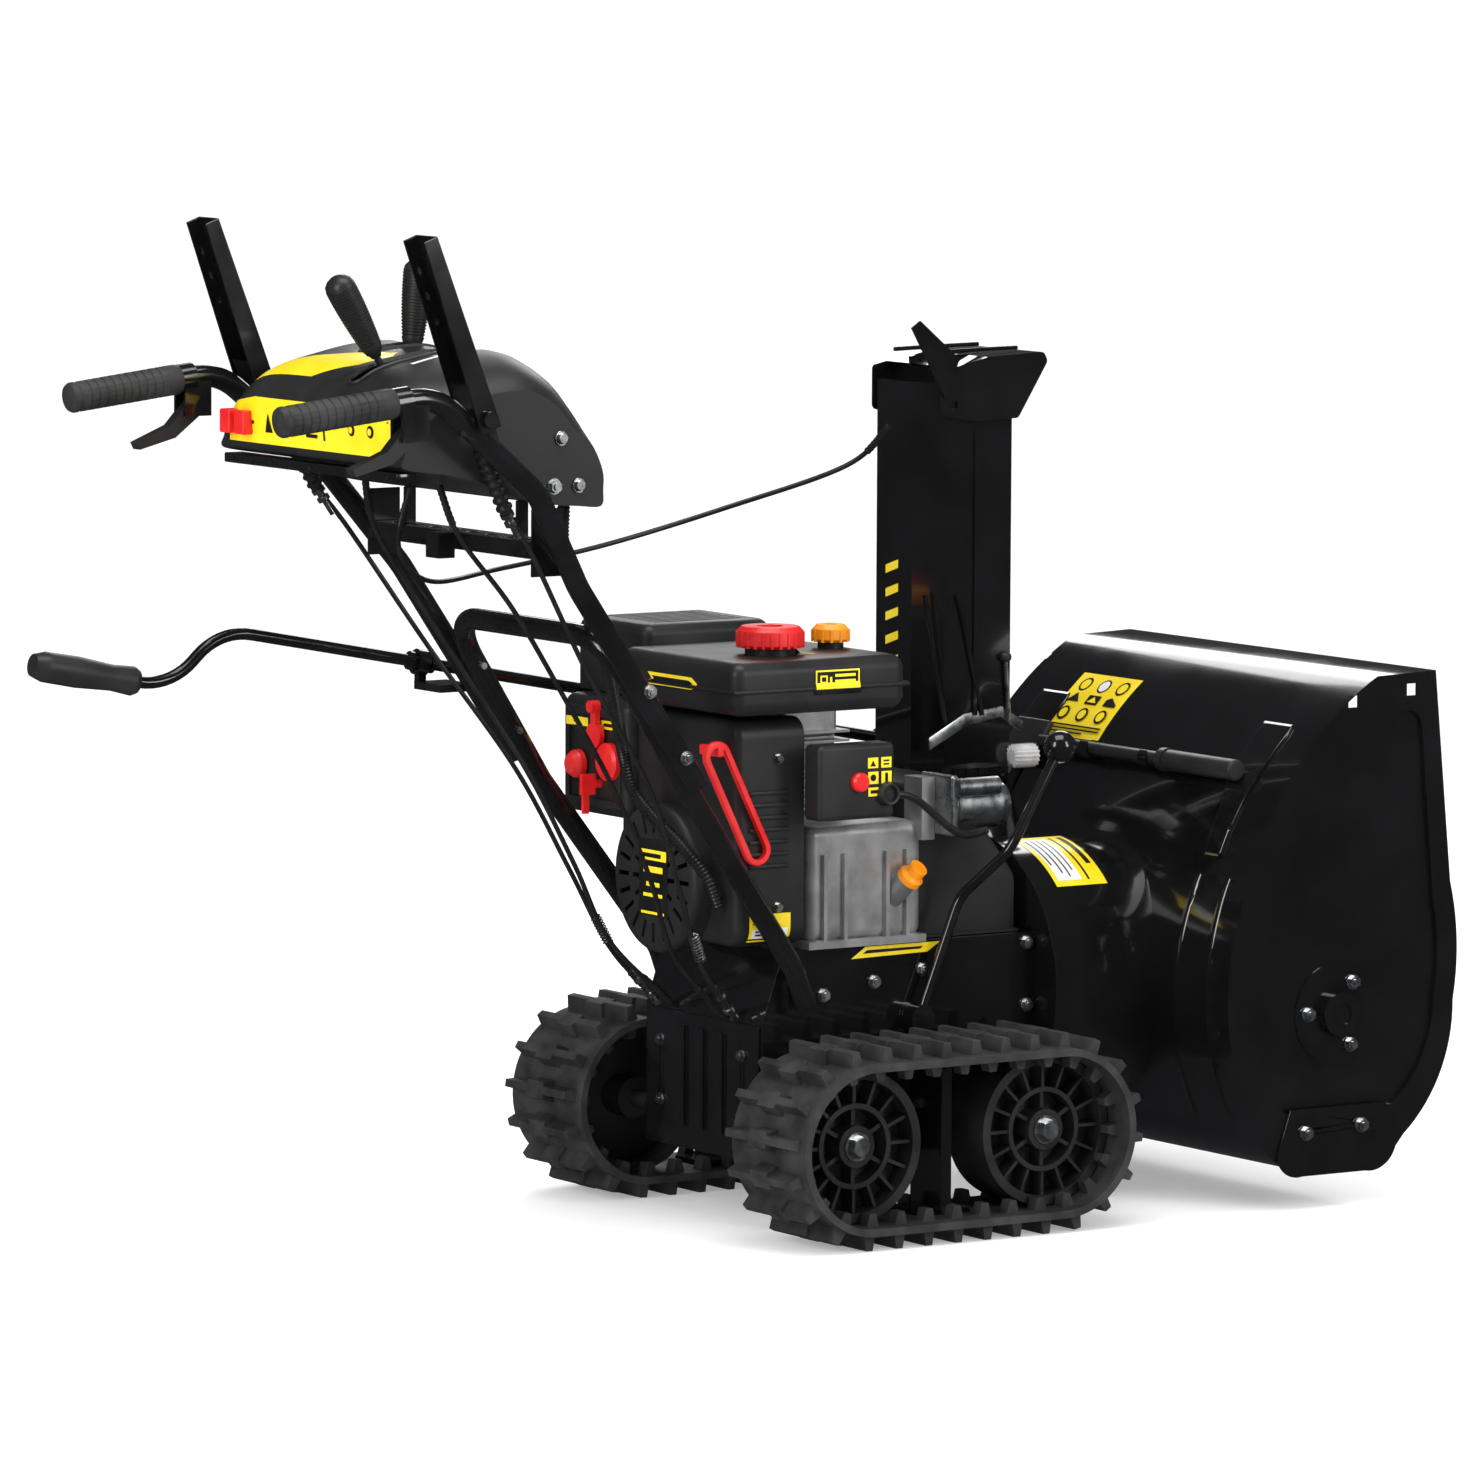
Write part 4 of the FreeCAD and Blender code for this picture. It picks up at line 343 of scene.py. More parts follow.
def first_hit(trees, start, way):
    hits = [tree.ray_cast(start, way) for tree in trees]
    hits = [hit for hit in hits if hit[0] is not None]
    return min(hits, key=lambda hit: hit[3]) if hits else None


def disc(cu, cv, radius, count=20):
    return [(cu + radius * math.cos(math.tau * k / count), cv + radius * math.sin(math.tau * k / count))
            for k in range(count)]


def box2(u0, v0, u1, v1):
    return [(u0, v0), (u1, v0), (u1, v1), (u0, v1)]


def decal(name, trees, origin, u, v, shapes, body="root", cell=6.0, lift=0.35):
    """Printed film on a surface: (material, outline) pairs in mm about origin, each above the last."""
    u, v = Vector(u).normalized(), Vector(v).normalized()
    inward = v.cross(u)
    base = at(*origin)
    materials = sorted({material for material, _ in shapes})
    bm = bmesh.new()
    for layer, (material, outline) in enumerate(shapes):
        part = bmesh.new()
        part.faces.new([part.verts.new((a, b, 0)) for a, b in outline])
        for axis, low, high in ((0, min(p[0] for p in outline), max(p[0] for p in outline)),
                                (1, min(p[1] for p in outline), max(p[1] for p in outline))):
            cut = low + cell
            while cut < high:
                place, normal = [0, 0, 0], [0, 0, 0]
                place[axis], normal[axis] = cut, 1
                bmesh.ops.bisect_plane(part, geom=part.verts[:] + part.edges[:] + part.faces[:],
                                       plane_co=place, plane_no=normal)
                cut += cell
        moved = {}
        for vert in part.verts:
            start = base + (u * vert.co.x + v * vert.co.y) * MM - inward * 60 * MM
            hit = first_hit(trees, start, inward)
            spot = hit[0] if hit else start + inward * 60 * MM
            moved[vert] = bm.verts.new(spot - inward * (lift + 0.12 * layer) * MM)
        for face in part.faces:
            made = bm.faces.new([moved[vert] for vert in face.verts])
            made.material_index = materials.index(material)
        part.free()
    mesh = bpy.data.meshes.new(name)
    for face in bm.faces:
        face.normal_update()
        if face.normal.dot(inward) > 0:
            face.normal_flip()
    bm.to_mesh(mesh)
    bm.free()
    for face in mesh.polygons:
        face.use_smooth = True
    for material in materials:
        mesh.materials.append(MATERIALS[material])
    piece = bpy.data.objects.new(name, mesh)
    bpy.context.scene.collection.objects.link(piece)
    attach(piece, body)
    return piece


def bars(u0, v0, u1, count, pitch, thick, material="label_ink", short=0.72):
    """Even printed lines, the last one shorter, standing in for small print."""
    lines = []
    for k in range(count):
        end = u0 + (u1 - u0) * (short if k == count - 1 else 1.0)
        lines.append((material, box2(u0, v0 - k * pitch - thick, end, v0 - k * pitch)))
    return lines


# ---------------------------------------------------------------- CAD nodes

def machined_edges():
    """Node group that joins split vertices and shades smooth up to 30 degrees."""
    group = bpy.data.node_groups.new("joined_and_smoothed", "GeometryNodeTree")
    group.interface.new_socket("Geometry", in_out="INPUT", socket_type="NodeSocketGeometry")
    group.interface.new_socket("Geometry", in_out="OUTPUT", socket_type="NodeSocketGeometry")
    start = group.nodes.new("NodeGroupInput")
    end = group.nodes.new("NodeGroupOutput")
    merge = group.nodes.new("GeometryNodeMergeByDistance")
    merge.inputs["Distance"].default_value = 0.01 * MM
    angle = group.nodes.new("GeometryNodeInputMeshEdgeAngle")
    sharp = group.nodes.new("FunctionNodeCompare")
    sharp.operation = "GREATER_THAN"
    sharp.inputs[1].default_value = math.radians(30)
    normal = group.nodes.new("GeometryNodeSetMeshNormal")
    normal.mode = "SHARPNESS"
    link = group.links.new
    link(start.outputs[0], merge.inputs["Geometry"])
    link(merge.outputs["Geometry"], normal.inputs["Mesh"])
    link(angle.outputs["Unsigned Angle"], sharp.inputs[0])
    for socket in normal.inputs:
        if socket.name == "Remove Custom":
            socket.default_value = True
        if socket.name == "Edge Sharpness":
            link(sharp.outputs["Result"], socket)
    link(normal.outputs["Mesh"], end.inputs[0])
    return group


BEVELS = {
    "chassis_case": 1.6, "rear_cover": 1.2, "auger_housing_shell": 0.7, "housing_side_plates": 0.7,
    "skid_shoes": 1.0, "scraper_bar": 0.8, "impeller_drum": 0.7, "auger_gearbox": 2.0, "transmission": 2.0,
    "track_beams": 1.2, "left_track_belt": 1.0, "right_track_belt": 1.0, "engine_block": 1.0,
    "belt_cover": 2.0, "starter_switch_box": 1.2, "chute": 0.6, "chute_hood": 0.6, "console_tray": 0.8,
    "auger_clutch_lever": 0.6, "drive_clutch_lever": 0.6, "left_sprocket": 0.7, "right_sprocket": 0.7,
    "left_idler": 0.7, "right_idler": 0.7, "clean_out_tool": 0.8, "fasteners": 0.5,
}


def dress_nodes():
    group = machined_edges()
    slots = {part["node"]: part["material_slot"] for part in frame["record"]["subparts"]}
    for name, node in nodes.items():
        node.data.materials.clear()
        node.data.materials.append(MATERIALS[slots[name]])
        node.modifiers.new("joined", "NODES").node_group = group
        if name in BEVELS:
            bevel = node.modifiers.new("edges", "BEVEL")
            bevel.width = BEVELS[name] * MM
            bevel.segments = 2
            bevel.limit_method = "ANGLE"
            bevel.angle_limit = math.radians(32)
            bevel.harden_normals = True


# ---------------------------------------------------------------- console and levers

CONSOLE_CENTRE_Y = -430.0
CONSOLE_HALF = 196.0
CONSOLE_LINE = (
    (-556, 898), (-559, 920), (-561, 942), (-560, 962), (-548, 980), (-520, 999), (-478, 1010), (-430, 1017),
    (-388, 1018), (-350, 1002), (-320, 970), (-306, 932), (-298, 888), (-297, 866), (-300, 848), (-330, 849),
    (-366, 852), (-398, 858), (-434, 870), (-470, 884), (-512, 891))
LEVER_SLOTS = ((60, -536, -430), (-40, -462, -356))
SLOT_HALF = 8.0


def console_ring(x):
    """The console's outline at one station, lower and drawn in towards the sides."""
    share = abs(x) / CONSOLE_HALF
    ring = []
    for y, z in CONSOLE_LINE:
        top = min(1.0, max(0.0, (z - 905) / 70))
        rise = 5.0 * top * math.exp(-((abs(x) - 112) / 30) ** 2) * math.exp(-((y + 400) / 90) ** 2)
        dip = 4.0 * top * math.exp(-(x / 26) ** 2) * math.exp(-((y + 380) / 80) ** 2)
        ring.append((y + (CONSOLE_CENTRE_Y - y) * 0.13 * top * share ** 7,
                     z - top * (13 * share ** 2 + 26 * share ** 9) + rise - dip))
    return ring


def console_shell():
    ends = (100, 120, 140, 160, 176, 186, 192, 195, CONSOLE_HALF)
    stations = sorted([-x for x in ends] + [-80, -64, -48, -32, -20, 0, 20, 36, 52, 68, 84] + list(ends))
    bm = bmesh.new()
    rings = []
    for x in stations:
        points = [Vector((y, z, 0)) for y, z in console_ring(x)]
        count = len(points)
        ring = []
        for i in range(count):
            a, b, c, d = (points[(i + k) % count] for k in (-1, 0, 1, 2))
            for k in range(5):
                t = k / 5
                spot = 0.5 * (2 * b + (c - a) * t + (2 * a - 5 * b + 4 * c - d) * t ** 2
                              + (3 * b - a - 3 * c + d) * t ** 3)
                ring.append(bm.verts.new(at(x, spot.x, spot.y)))
        rings.append(ring)
    faces = []
    for low, high in zip(rings, rings[1:]):
        count = len(low)
        for k in range(count):
            faces.append(bm.faces.new((low[k], low[(k + 1) % count], high[(k + 1) % count], high[k])))
    bm.faces.new(rings[0])
    bm.faces.new(rings[-1])
    bmesh.ops.recalc_face_normals(bm, faces=bm.faces)
    gone = []
    for face in faces:
        middle = face.calc_center_median() / MM + Y * AXLE_TO_ROW
        for x, y0, y1 in LEVER_SLOTS:
            if abs(middle.x - x) < SLOT_HALF and y0 < middle.y < y1 and middle.z > 950:
                gone.append(face)
    bmesh.ops.delete(bm, geom=gone, context="FACES")
    shell = object_from("console_shell", bm, "black_plastic", "root", smooth_angle=36)
    wall = shell.modifiers.new("wall", "SOLIDIFY")
    wall.thickness = 2.5 * MM
    wall.offset = -1
    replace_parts(shell, "console")
    return shell


def console_trim(shell):
    top = surface_of(shell)
    for x, y0, y1 in LEVER_SLOTS:
        outline = []
        half = SLOT_HALF + 4
        for cy, turn in ((y1 - 6, 0.0), (y0 + 6, math.pi)):
            for k in range(11):
                angle = turn + math.pi * k / 10
                outline.append((x + half * math.cos(angle), cy + half * math.sin(angle)))
        dense = []
        for (ax, ay), (bx, by) in zip(outline, outline[1:] + outline[:1]):
            parts = max(1, int(math.hypot(bx - ax, by - ay) / 6))
            dense += [(ax + (bx - ax) * k / parts, ay + (by - ay) * k / parts) for k in range(parts)]
        path = []
        for px, py in dense + dense[:1]:
            hit = first_hit(top, at(px, py, 1100), -Z)
            path.append(hit[0] if hit else at(px, py, 1000))
        name = "right" if x > 0 else "left"
        sweep_rings(f"slot_rim_{name}", path, lambda share, index: 2.6, "black_plastic", "root", 8)
    for side, name in ((-1, "left"), (1, "right")):
        for index, (y, z) in enumerate(((-353, 925), (-330, 872))):
            bolt(f"console_bolt_{name}_{index}", (side * 196.5, y, z), X * side, 8.5, 5.5, "root")
    band = [
        ("label_yellow", [(-176, -25), (176, -25), (182, -8), (180, 18), (120, 27), (-120, 27), (-180, 18),
                          (-182, -8)]),
        ("label_ink", box2(-172, -4, -120, 0)), ("label_ink", box2(30, -14, 34, 16)),
        ("label_ink", disc(92, 2, 7)), ("label_ink", disc(132, 2, 7)),
        ("label_ink", [(-96, -12), (-80, -12), (-88, 10)]), ("label_ink", box2(-70, -12, -64, 12)),
        ("label_ink", box2(-58, -12, -52, 6)), ("label_ink", box2(-46, -12, -40, 0)),
        ("label_ink", box2(-6, -12, 18, -8)), ("label_ink", box2(-6, -2, 12, 2)),
        ("label_yellow", disc(92, 2, 4)), ("label_yellow", disc(132, 2, 4))]
    decal("console_band", top, (0, -560, 933), X, Z, band)
    wedge = [("label_yellow", [(-170, -58), (-30, -62), (26, -34), (34, 6), (12, 26), (-30, 12), (-96, -14),
                               (-150, -34)])]
    decal("console_wedge", top, (0, -478, 1060), X, Y, wedge)
    arrow = [("label_white", [(96, -10), (104, -10), (104, 22), (109, 22), (100, 36), (91, 22), (96, 22)])]
    decal("speed_arrow", top, (0, -478, 1060), X, Y, arrow)
    rounded_box("console_rail", (-188, -560, 882), (188, -536, 893), 1.5, "gloss_black_paint", "root")
    # Thin near-black discs on the rail's front are painted shade standing in for its holes; nothing is cut
    # through.
    for k in range(9):
        x = -168 + 42 * k
        turning(f"rail_hole_shade_{k}", (x, -560.2, 887.5), -Y, ((0, 3.2), (0.3, 3.2)), "label_ink", "root", 14)


def bolt(name, place, way, washer, head, body, material="zinc_steel", high=5.0):
    """A hexagon bolt head standing on its washer."""
    washer_piece = turning(f"{name}_washer", place, way, (
        (0, washer), (1.2, washer), (1.6, washer - 0.5)), material, body, 28)
    across = head / math.cos(math.pi / 6)

    def hexagon(angle, far):
        step = math.pi / 3
        if far >= 1.6 + high - 0.6:
            return 0.93
        return math.cos(step / 2) / math.cos((angle + step / 2) % step - step / 2)
    head_piece = turning(f"{name}_head", place, way, (
        (1.6, across), (1.6 + high - 0.9, across), (1.6 + high - 0.5, across * 0.93),
        (1.6 + high, across * 0.86)),
        material, body, 36, hexagon)
    return joined([washer_piece, head_piece], f"{name}")


def joined(pieces, name):
    """Several pieces of one material made into one piece that rides as the first did."""
    kept = pieces[0]
    bm = bmesh.new()
    for piece in pieces:
        bm.from_mesh(piece.data)
    bm.to_mesh(kept.data)
    bm.free()
    for piece in pieces[1:]:
        bpy.data.objects.remove(piece, do_unlink=True)
    kept.name = name
    return kept


def ribbed_knob(name, root, way, low, high, body, node):
    """A moulded lever knob with fine rings round it, on a plastic stem."""
    profile = [(low - 6, 6.5), (low - 2, 8), (low, 10.5), (low + 6, 12.5)]
    far = low + 10
    while far < high - 14:
        share = (far - low) / (high - low)
        size = 12.5 + 6.3 * math.sin(math.pi * min(1.0, share * 0.62))
        profile += [(far, size), (far + 1.1, size), (far + 1.6, size - 0.9), (far + 2.5, size - 0.9),
                    (far + 3.0, size)]
        far += 3.6
    profile += [(high - 11, 18), (high - 7, 17), (high - 3, 13), (high, 7), (high + 1, 2)]
    knob = turning(f"{name}_knob", root, way, profile, "black_plastic", body, 40, flat=0.9, smooth=40)
    stem = turning(f"{name}_stem", root, way, ((-20, 4), (low + 4, 4)), "black_plastic", body, 16)
    piece = joined([knob, stem], f"{name}_moulded")
    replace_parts(piece, node)


def handle_grip(side):
    """A hand grip with rings cut in it, a plain collar and a rounded end."""
    profile = [(0, 13), (1.2, 15.6), (4, 17.2), (8, 17.4), (11, 16.4)]
    far = 13
    while far < 118:
        profile += [(far, 16.9), (far + 1.0, 17.3), (far + 7.6, 17.3), (far + 8.4, 16.0), (far + 9.8, 16.0)]
        far += 10.4
    profile += [(122, 16.9), (124, 17.3), (140, 17.3), (144, 16.4), (146, 14)]
    start = (side * 231, -737, 957)
    way = Vector((side * 5, 196, 23))

    def grooves(angle, far):
        return 1.0 - 0.022 * (1 if 13 < far < 120 and math.cos(angle * 18) > 0.2 else 0)
    return turning(f"grip_{side}", start, way, profile, "grip_rubber", "root", 72, grooves, smooth=30)


# ---------------------------------------------------------------- cables

RIGHT_CABLE = ((212, -470, 925), (206, -440, 862), (196, -392, 800), (168, -300, 660), (144, -200, 520),
               (116, -142, 400), (96, -100, 310), (80, -44, 246))
INNER_CABLE = ((80, -440, 868), (92, -420, 810), (106, -360, 730), (100, -290, 630), (90, -216, 520),
               (80, -158, 410), (66, -118, 320), (50, -44, 246))
DEFLECTOR_CABLE = ((-40, -404, 857), (-52, -412, 790), (-120, -330, 742), (-240, -160, 740), (-262, 0, 760),
                   (-232, 150, 800), (-150, 262, 850), (-96, 288, 900))
HARNESS = ((150, -320, 850), (140, -312, 790), (112, -262, 722), (72, -214, 660), (30, -172, 592),
           (4, -146, 545), (10, -138, 505), (44, -130, 474), (82, -118, 446), (106, -98, 410), (110, -85, 376))
STARTER_LEAD = ((176, 104.8, 500), (178, 122, 500), (179, 138, 494), (178, 156, 482), (177, 174, 468),
                (176, 194, 455), (175, 213, 448), (172, 244, 452))


def mirrored(points):
    return tuple((-x, y, z) for x, y, z in points)


def sheathed(name, points):
    """One cable: outer sheath with a moulded sleeve near each end."""
    path = evenly(smooth_path(points), 3 * MM)
    count = len(path)

    def radius(share, index):
        near = min(index, count - 1 - index) * 3.0
        if near < 46:
            return 4.6 if index % 2 else 3.9
        return 3.0
    return sweep_rings(name, path, radius, "cable_black", "root", 10)


def cables():
    routes = (("clutch_cable_right", RIGHT_CABLE), ("clutch_cable_left", mirrored(RIGHT_CABLE)),
              ("drive_cable_right", INNER_CABLE), ("drive_cable_left", mirrored(INNER_CABLE)),
              ("deflector_cable", DEFLECTOR_CABLE))
    pieces = [sheathed(name, points) for name, points in routes]
    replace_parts(joined(pieces, "cables"), "control_cables")
    path = evenly(smooth_path(HARNESS), 2.2 * MM)
    loom = sweep_rings("loom", path, lambda share, index: 7.6 if index % 2 else 6.2, "cable_black", "root", 14)
    lead = tube("starter_lead", STARTER_LEAD, 4.5, "cable_black", "root")
    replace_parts(joined([loom, lead], "corrugated_loom"), "wiring_harness")
    for side, name in ((-1, "left"), (1, "right")):
        low = (side * 80, -48, 250)
        coil(f"cable_spring_{name}", (side * 97, -99, 312), (side * 104, -116, 348), 6.0, 0.9, 9,
             "zinc_steel", "root")
        turning(f"cable_adjuster_{name}", low, Vector((side * 16, -56, 64)), (
            (-8, 3), (-8, 6.2), (-3, 6.2), (-3, 3.4), (0, 3.4), (2, 6.6), (8, 6.6), (9, 3.6), (26, 3.6),
            (26, 6.4), (31, 6.4), (31, 3.4), (44, 3.4)), "zinc_steel", "root", 24)


# ---------------------------------------------------------------- engine

def engine_trim():
    tank = surface_of(nodes["fuel_tank"])
    shroud = surface_of(nodes["engine_shroud"])
    recoil = surface_of(nodes["recoil_cover"])
    case = surface_of(nodes["chassis_case"])
    switch = surface_of(nodes["starter_switch_box"])
    panel = surface_of(nodes["engine_control_panel"])
    decal("tank_side_label", tank, (170, 36, 634), Y, Z, [
        ("label_ink", box2(-32, -15, 32, 15)), ("label_yellow", box2(-30, -13, 30, 13)),
        ("label_ink", box2(-28, -11, 28, 11)), ("label_yellow", box2(-24, -8, -14, 7)),
        ("label_ink", box2(-22, 0, -16, 5)), ("label_yellow", box2(-11, -7, -8, 5))]
        + bars(-4, 8, 24, 3, 6.5, 3.2, "label_yellow"))
    decal("tank_top_label", tank, (92, 30, 670), X, Y, [
        ("label_ink", box2(-54, -12, 30, 12)), ("label_yellow", box2(-54, 5, 30, 9))]
        + bars(-50, 2, 26, 3, 4, 1.6, "label_yellow"))
    decal("tank_front_emblem", tank, (40, -103, 630), X, Z, [
        ("label_yellow", [(-52, -7), (40, -7), (52, 0), (40, 7), (-52, 7), (-44, 0)]),
        ("label_ink", [(-44, -3), (34, -3), (42, 0), (34, 3), (-44, 3), (-38, 0)])])
    decal("recoil_label", recoil, (0, -102, 400), X, Z, [
        ("label_ink", box2(-30, -44, 30, 44)), ("label_yellow", box2(-27, 20, 27, 32)),
        ("label_ink", box2(-22, 23, 16, 28)), ("label_yellow", box2(-20, 6, 20, 13)),
        ("label_yellow", box2(-14, -10, 14, -5)), ("label_yellow", box2(-20, -22, 20, -18)),
        ("label_yellow", box2(-24, -42, 24, -39))])
    decal("shroud_label", shroud, (133, -30, 352), Y, Z, [
        ("label_yellow", box2(-28, -16, 28, 16)), ("label_ink", box2(-24, 9, 6, 13)),
        ("label_white", box2(-24, -12, 24, -1)), ("label_ink", box2(-20, -5, 12, -3)),
        ("label_ink", box2(-20, -9, 18, -7))] + bars(-24, 6, 24, 1, 4, 2))
    decal("case_strip", case, (122, 155, 316), Y, Z, [
        ("label_yellow", [(-66, -9), (40, -7), (58, 4), (-46, 4)]),
        ("label_ink", [(-50, -4), (30, -3), (34, 0), (-44, 0)])])
    decal("switch_label", switch, (188, 66, 530), Y, Z, [
        ("label_yellow", box2(0, 4, 14, 16)), ("label_ink", [(3, 6), (11, 6), (7, 13)]),
        ("label_yellow", box2(18, 4, 32, 16)), ("label_ink", box2(21, 7, 29, 9)),
        ("label_ink", box2(21, 11, 29, 13)), ("label_yellow", box2(0, -14, 14, 0)),
        ("label_ink", disc(7, -7, 4)), ("label_yellow", box2(18, -14, 32, 0)),
        ("label_ink", box2(23, -12, 27, -2)), ("label_yellow", box2(0, -28, 32, -18)),
        ("label_ink", box2(3, -25, 24, -21))])
    decal("panel_label", panel, (-136, -92, 566), X, Z, [
        ("label_yellow", box2(-62, -6, -20, 4)), ("label_ink", box2(-58, -3, -40, 1)),
        ("label_yellow", box2(8, -6, 40, 4)), ("label_ink", box2(14, -3, 34, 1))])
    turning("socket_ring", (188, 92, 504), X, (
        (0, 14), (2, 14), (9, 12.5), (10, 11.5), (9.5, 9.5), (4, 9.5)), "black_plastic", "root", 40)
    for index, (y, z) in enumerate(((-20, 545), (-20, 375))):
        bolt(f"shroud_bolt_{index}", (133, y, z), X, 6.5, 4.2, "root")
    for index in range(7):
        z = 420 + 14 * index
        rounded_box(f"shroud_fin_{index}", (131, -60, z), (136.5, -6, z + 5), 1.4, "black_plastic", "root")
    coil("intake_spring", (112, 96, 452), (112, 140, 452), 5, 0.9, 8, "zinc_steel", "root")


# ---------------------------------------------------------------- chute and housing

def chute_trim():
    chute = surface_of(nodes["chute"])
    marks = [("label_yellow", box2(-20, -70, 8, -64)), ("label_yellow", box2(-20, -56, 8, -50))]
    for k in range(5):
        marks.append(("label_yellow", [(-16, -40 + 28 * k), (10, -32 + 28 * k), (10, -22 + 28 * k),
                                       (-16, -30 + 28 * k)]))
    decal("chute_rear_marks", chute, (-125, 300, 650), X, Z, marks, body="chute")
    stays = (("upper", ((-58, 312, 702), (-58, 327, 625), (-58, 342, 548))),
             ("lower", ((-58, 359, 700), (-58, 377, 628), (-58, 395, 557))))
    for name, points in stays:
        tube(f"chute_stay_{name}", points, 3.2, "black_tube_paint", "chute")
    tube("ball_rod", ((-56, 427, 622), (-56, 432, 549)), 3.0, "zinc_steel", "chute")
    turning("ball_rod_end", (-56, 427, 618), Z, (
        (0, 2), (1, 4.6), (3, 6.4), (6, 7), (9, 6.4), (11, 4.6), (12, 2)), "black_plastic", "chute", 20)
    prism("worm_bracket", [(322, 519), (376, 546), (422, 553), (452, 535), (455, 547), (424, 566), (370, 559),
                           (320, 533)], (-62, 0, 0), Y, Z, 3.0, "zinc_steel", "root")
    turning("brush", (-50, 432, 507), Vector((0, 1, 0)), [
        (4.5 * k / 3, 13.5 if k % 2 else 8) for k in range(22)], "nylon_white", "root", 30,
        lambda angle, far: 1.0 + 0.10 * math.cos(angle * 15), smooth=20)


def hood_trim():
    for index, x in enumerate((-165, -85)):
        tube(f"hood_rod_{index}", ((x, 340, 984), (x, 400, 985.5), (x, 462, 986.5)), 2.6, "black_tube_paint",
             "chute_hood")


def housing_trim():
    shell = surface_of(nodes["auger_housing_shell"])
    drum = surface_of(nodes["impeller_drum"])
    sheet_label = [
        ("label_yellow", box2(-60, -48, 60, 48)),
        ("label_ink", disc(-38, 30, 11)), ("label_yellow", disc(-38, 30, 8)),
        ("label_ink", disc(0, 30, 11)), ("label_white", disc(0, 30, 8.5)), ("label_ink", disc(38, 30, 11)),
        ("label_yellow", disc(38, 30, 8)), ("label_ink", [(-50, 2), (-26, 2), (-38, 16)]),
        ("label_ink", [(-12, 0), (12, 0), (12, 14), (-12, 14)]), ("label_yellow", [(-9, 3), (9, 3), (0, 12)]),
        ("label_ink", [(26, 0), (50, 0), (50, 4), (34, 14), (26, 10)]),
        ("label_ink", disc(-38, -16, 10)), ("label_yellow", disc(-38, -16, 7)),
        ("label_ink", disc(0, -16, 10)), ("label_yellow", disc(0, -16, 7)),
        ("label_ink", disc(38, -16, 10)), ("label_yellow", disc(38, -16, 7))] + bars(-54, -32, 54, 3, 5, 2.2)
    decal("housing_label", shell, (-146, 560, 600), X, Vector((0, 0.68, 0.73)), sheet_label, cell=5.0)
    decal("drum_label", drum, (120, 420, 460), Vector((0.83, 0, -0.56)), Y, [
        ("label_yellow", box2(-62, -36, 44, 36)), ("label_ink", box2(-56, 24, 10, 31)),
        ("label_ink", box2(-56, 12, 36, 15)), ("label_white", box2(-52, -30, 36, 4)),
        ("label_ink", box2(-48, -3, 20, -1)), ("label_ink", box2(-48, -11, 30, -9)),
        ("label_ink", box2(-48, -19, 24, -17)), ("label_ink", box2(-48, -27, 10, -25))], cell=5.0)


SIDE_PANEL = ((654, 475), (700, 479), (721, 472), (728, 420), (734, 352), (722, 340), (660, 332), (590, 322),
              (577, 328), (580, 346), (610, 400), (638, 456))
SIDE_ARC = ((549, 123), (574, 146), (602, 163), (636, 175), (670, 174), (696, 167), (722, 150), (742, 131))
SIDE_BOSS = ((586, 246), (590, 218), (602, 196), (618, 185), (660, 184), (700, 190), (714, 222), (706, 250),
             (687, 274), (660, 287), (640, 289), (612, 282), (594, 266))


def housing_ridges():
    """Pressed outlines on both side plates and the two straps down the housing's back."""
    for side, name in ((-1, "left"), (1, "right")):
        for label, outline, closed in (("panel", SIDE_PANEL, True), ("arc", SIDE_ARC, False),
                                       ("boss", SIDE_BOSS, True)):
            line = outline + outline[:2] if closed else outline
            points = [(side * 297, y, z) for y, z in line]
            path = evenly(smooth_path(points, 8), 4 * MM)
            sweep_rings(f"pressed_{label}_{name}", path, lambda share, index: 2.6, "gloss_black_paint", "root",
                        10)
    shell = surface_of(nodes["auger_housing_shell"])
    strap = [("gloss_black_paint", [(-18, -96), (12, -96), (30, 70), (26, 84), (-28, 84), (-32, 70)])]
    for side, name in ((-1, "left"), (1, "right")):
        up = Vector((0, 0.55, 0.835))
        piece = decal(f"housing_strap_{name}", shell, (side * 224, 560, 500), X, up, strap, cell=8.0, lift=2.6)
        wall = piece.modifiers.new("wall", "SOLIDIFY")
        wall.thickness = 2.6 * MM
        wall.offset = -1


def boots():
    """Ringed rubber boots over the clutch cables where they leave the levers."""
    for side, name in ((-1, "left"), (1, "right")):
        route = ((side * 212, -468, 922), (side * 208, -452, 890), (side * 203, -428, 845))
        path = evenly(smooth_path(route), 2.6 * MM)
        sweep_rings(f"cable_boot_{name}", path, lambda share, index: 9.5 if (index // 2) % 2 else 7.0,
                    "cable_black", "root", 20)
        turning(f"cable_nut_{name}", (side * 203, -428, 845), Vector((side * -8, 38, -60)), (
            (-1, 3), (-1, 8), (4, 8), (4, 4.5), (10, 4.5), (10, 7.5), (15, 7.5), (15, 3.6), (34, 3.6)),
            "zinc_steel", "root", 24)


def wheel_trim():
    """A zinc washer and nut on each wheel."""
    for side, name in ((-1, "left"), (1, "right")):
        for wheel, y in (("sprocket", 0), ("idler", 261)):
            body = f"{name}_{wheel}"
            bolt(f"{body}_nut", (side * 268.5, y, 115), X * side, 17, 11, body, high=9)


# ---------------------------------------------------------------- studio

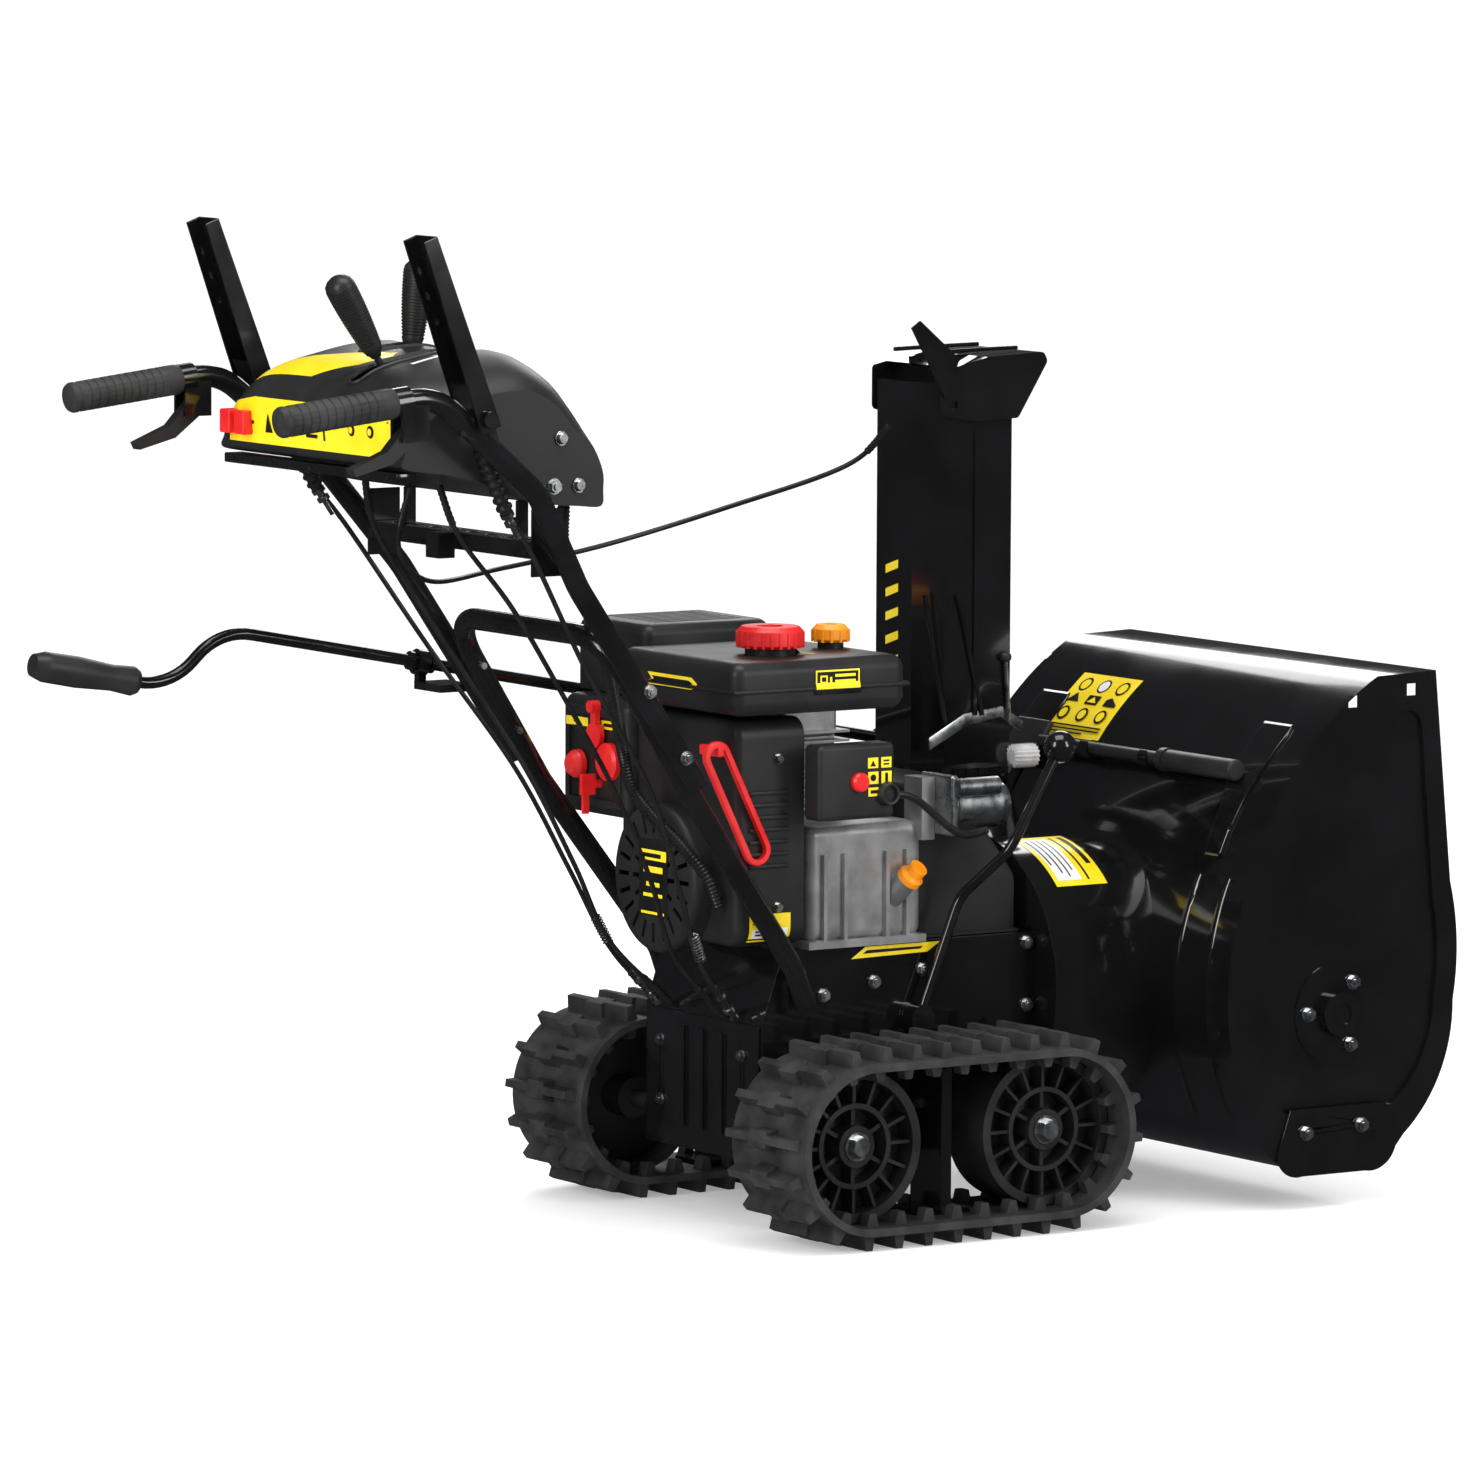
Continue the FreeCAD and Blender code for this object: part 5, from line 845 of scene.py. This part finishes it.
def make_camera():
    azimuth, elevation, roll = math.radians(56.604), math.radians(5.892), math.radians(0.283)
    back = Vector((math.sin(azimuth) * math.cos(elevation), -math.cos(azimuth) * math.cos(elevation),
                   math.sin(elevation)))
    right = Vector((math.cos(azimuth), math.sin(azimuth), 0))
    up = back.cross(right)
    turned_right = right * math.cos(roll) + up * math.sin(roll)
    turned_up = up * math.cos(roll) - right * math.sin(roll)
    camera = bpy.data.objects.new("camera", bpy.data.cameras.new("camera"))
    camera.data.sensor_width = 36.0
    camera.data.lens = 228.98
    camera.data.clip_start = 0.5
    camera.data.clip_end = 400.0
    turn = Matrix((turned_right, turned_up, back)).transposed()
    camera.matrix_world = Matrix.Translation((8.976, -5.932776, 1.6632)) @ turn.to_4x4()
    bpy.context.scene.collection.objects.link(camera)
    bpy.context.scene.camera = camera


def softbox(name, place, aim, size, watts):
    lamp = bpy.data.lights.new(name, "AREA")
    lamp.shape = "RECTANGLE"
    lamp.size, lamp.size_y = size
    lamp.energy = watts
    light = bpy.data.objects.new(name, lamp)
    light.location = place
    light.rotation_mode = "QUATERNION"
    light.rotation_quaternion = (Vector(aim) - Vector(place)).to_track_quat("-Z", "Y")
    bpy.context.scene.collection.objects.link(light)


def make_studio():
    world = bpy.data.worlds.new("studio")
    bpy.context.scene.world = world
    world.use_nodes = True
    tree = world.node_tree
    background = tree.nodes["Background"]
    path = add(tree, "ShaderNodeLightPath")
    tint = add(tree, "ShaderNodeMix", {
        "Factor": path.outputs["Is Glossy Ray"], 6: (1.0, 1.0, 1.0, 1), 7: (0.035, 0.036, 0.04, 1)},
        data_type="RGBA")
    tree.links.new(tint.outputs[2], background.inputs["Color"])
    background.inputs["Strength"].default_value = 1.05
    floor_mesh = bmesh.new()
    bmesh.ops.create_circle(floor_mesh, cap_ends=True, segments=96, radius=160.0)
    mesh = bpy.data.meshes.new("floor")
    floor_mesh.to_mesh(mesh)
    floor_mesh.free()
    material = finish_material(
        "floor_pale", grey(0.86), grey(0.88), (0.55, 0.65), 1.5, 60.0, 0.02, 0.0004,
        Emission_Color=(1, 1, 1, 1), Emission_Strength=0.30)
    mesh.materials.append(material)
    floor = bpy.data.objects.new("floor", mesh)
    bpy.context.scene.collection.objects.link(floor)
    floor.visible_glossy = False
    softbox("over", (0.6, -0.4, 3.6), (0, 0, 0.4), (2.6, 2.0), 60)
    softbox("left", (1.2, -4.2, 2.2), (0, 0, 0.6), (1.2, 2.4), 70)
    softbox("right", (4.4, 1.6, 2.2), (0, 0.3, 0.5), (1.0, 2.6), 60)
    softbox("behind", (-3.2, 2.6, 2.8), (0, 0, 0.5), (2.6, 1.6), 50)
    bpy.context.scene.view_settings.view_transform = "Standard"


# ---------------------------------------------------------------- whole scene

make_camera()
make_studio()
dress_nodes()
console_trim(console_shell())
ribbed_knob("speed", (60, -462, 935), (0, -0.517, 0.856), 97, 195, "speed_lever", "speed_lever")
ribbed_knob("deflector", (-40, -410, 935), (0, 0.099, 0.995), 81, 179, "deflector_lever", "deflector_lever")
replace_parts(joined([handle_grip(-1), handle_grip(1)], "hand_grips"), "handle_grips")
cables()
engine_trim()
chute_trim()
hood_trim()
housing_trim()
housing_ridges()
boots()
wheel_trim()
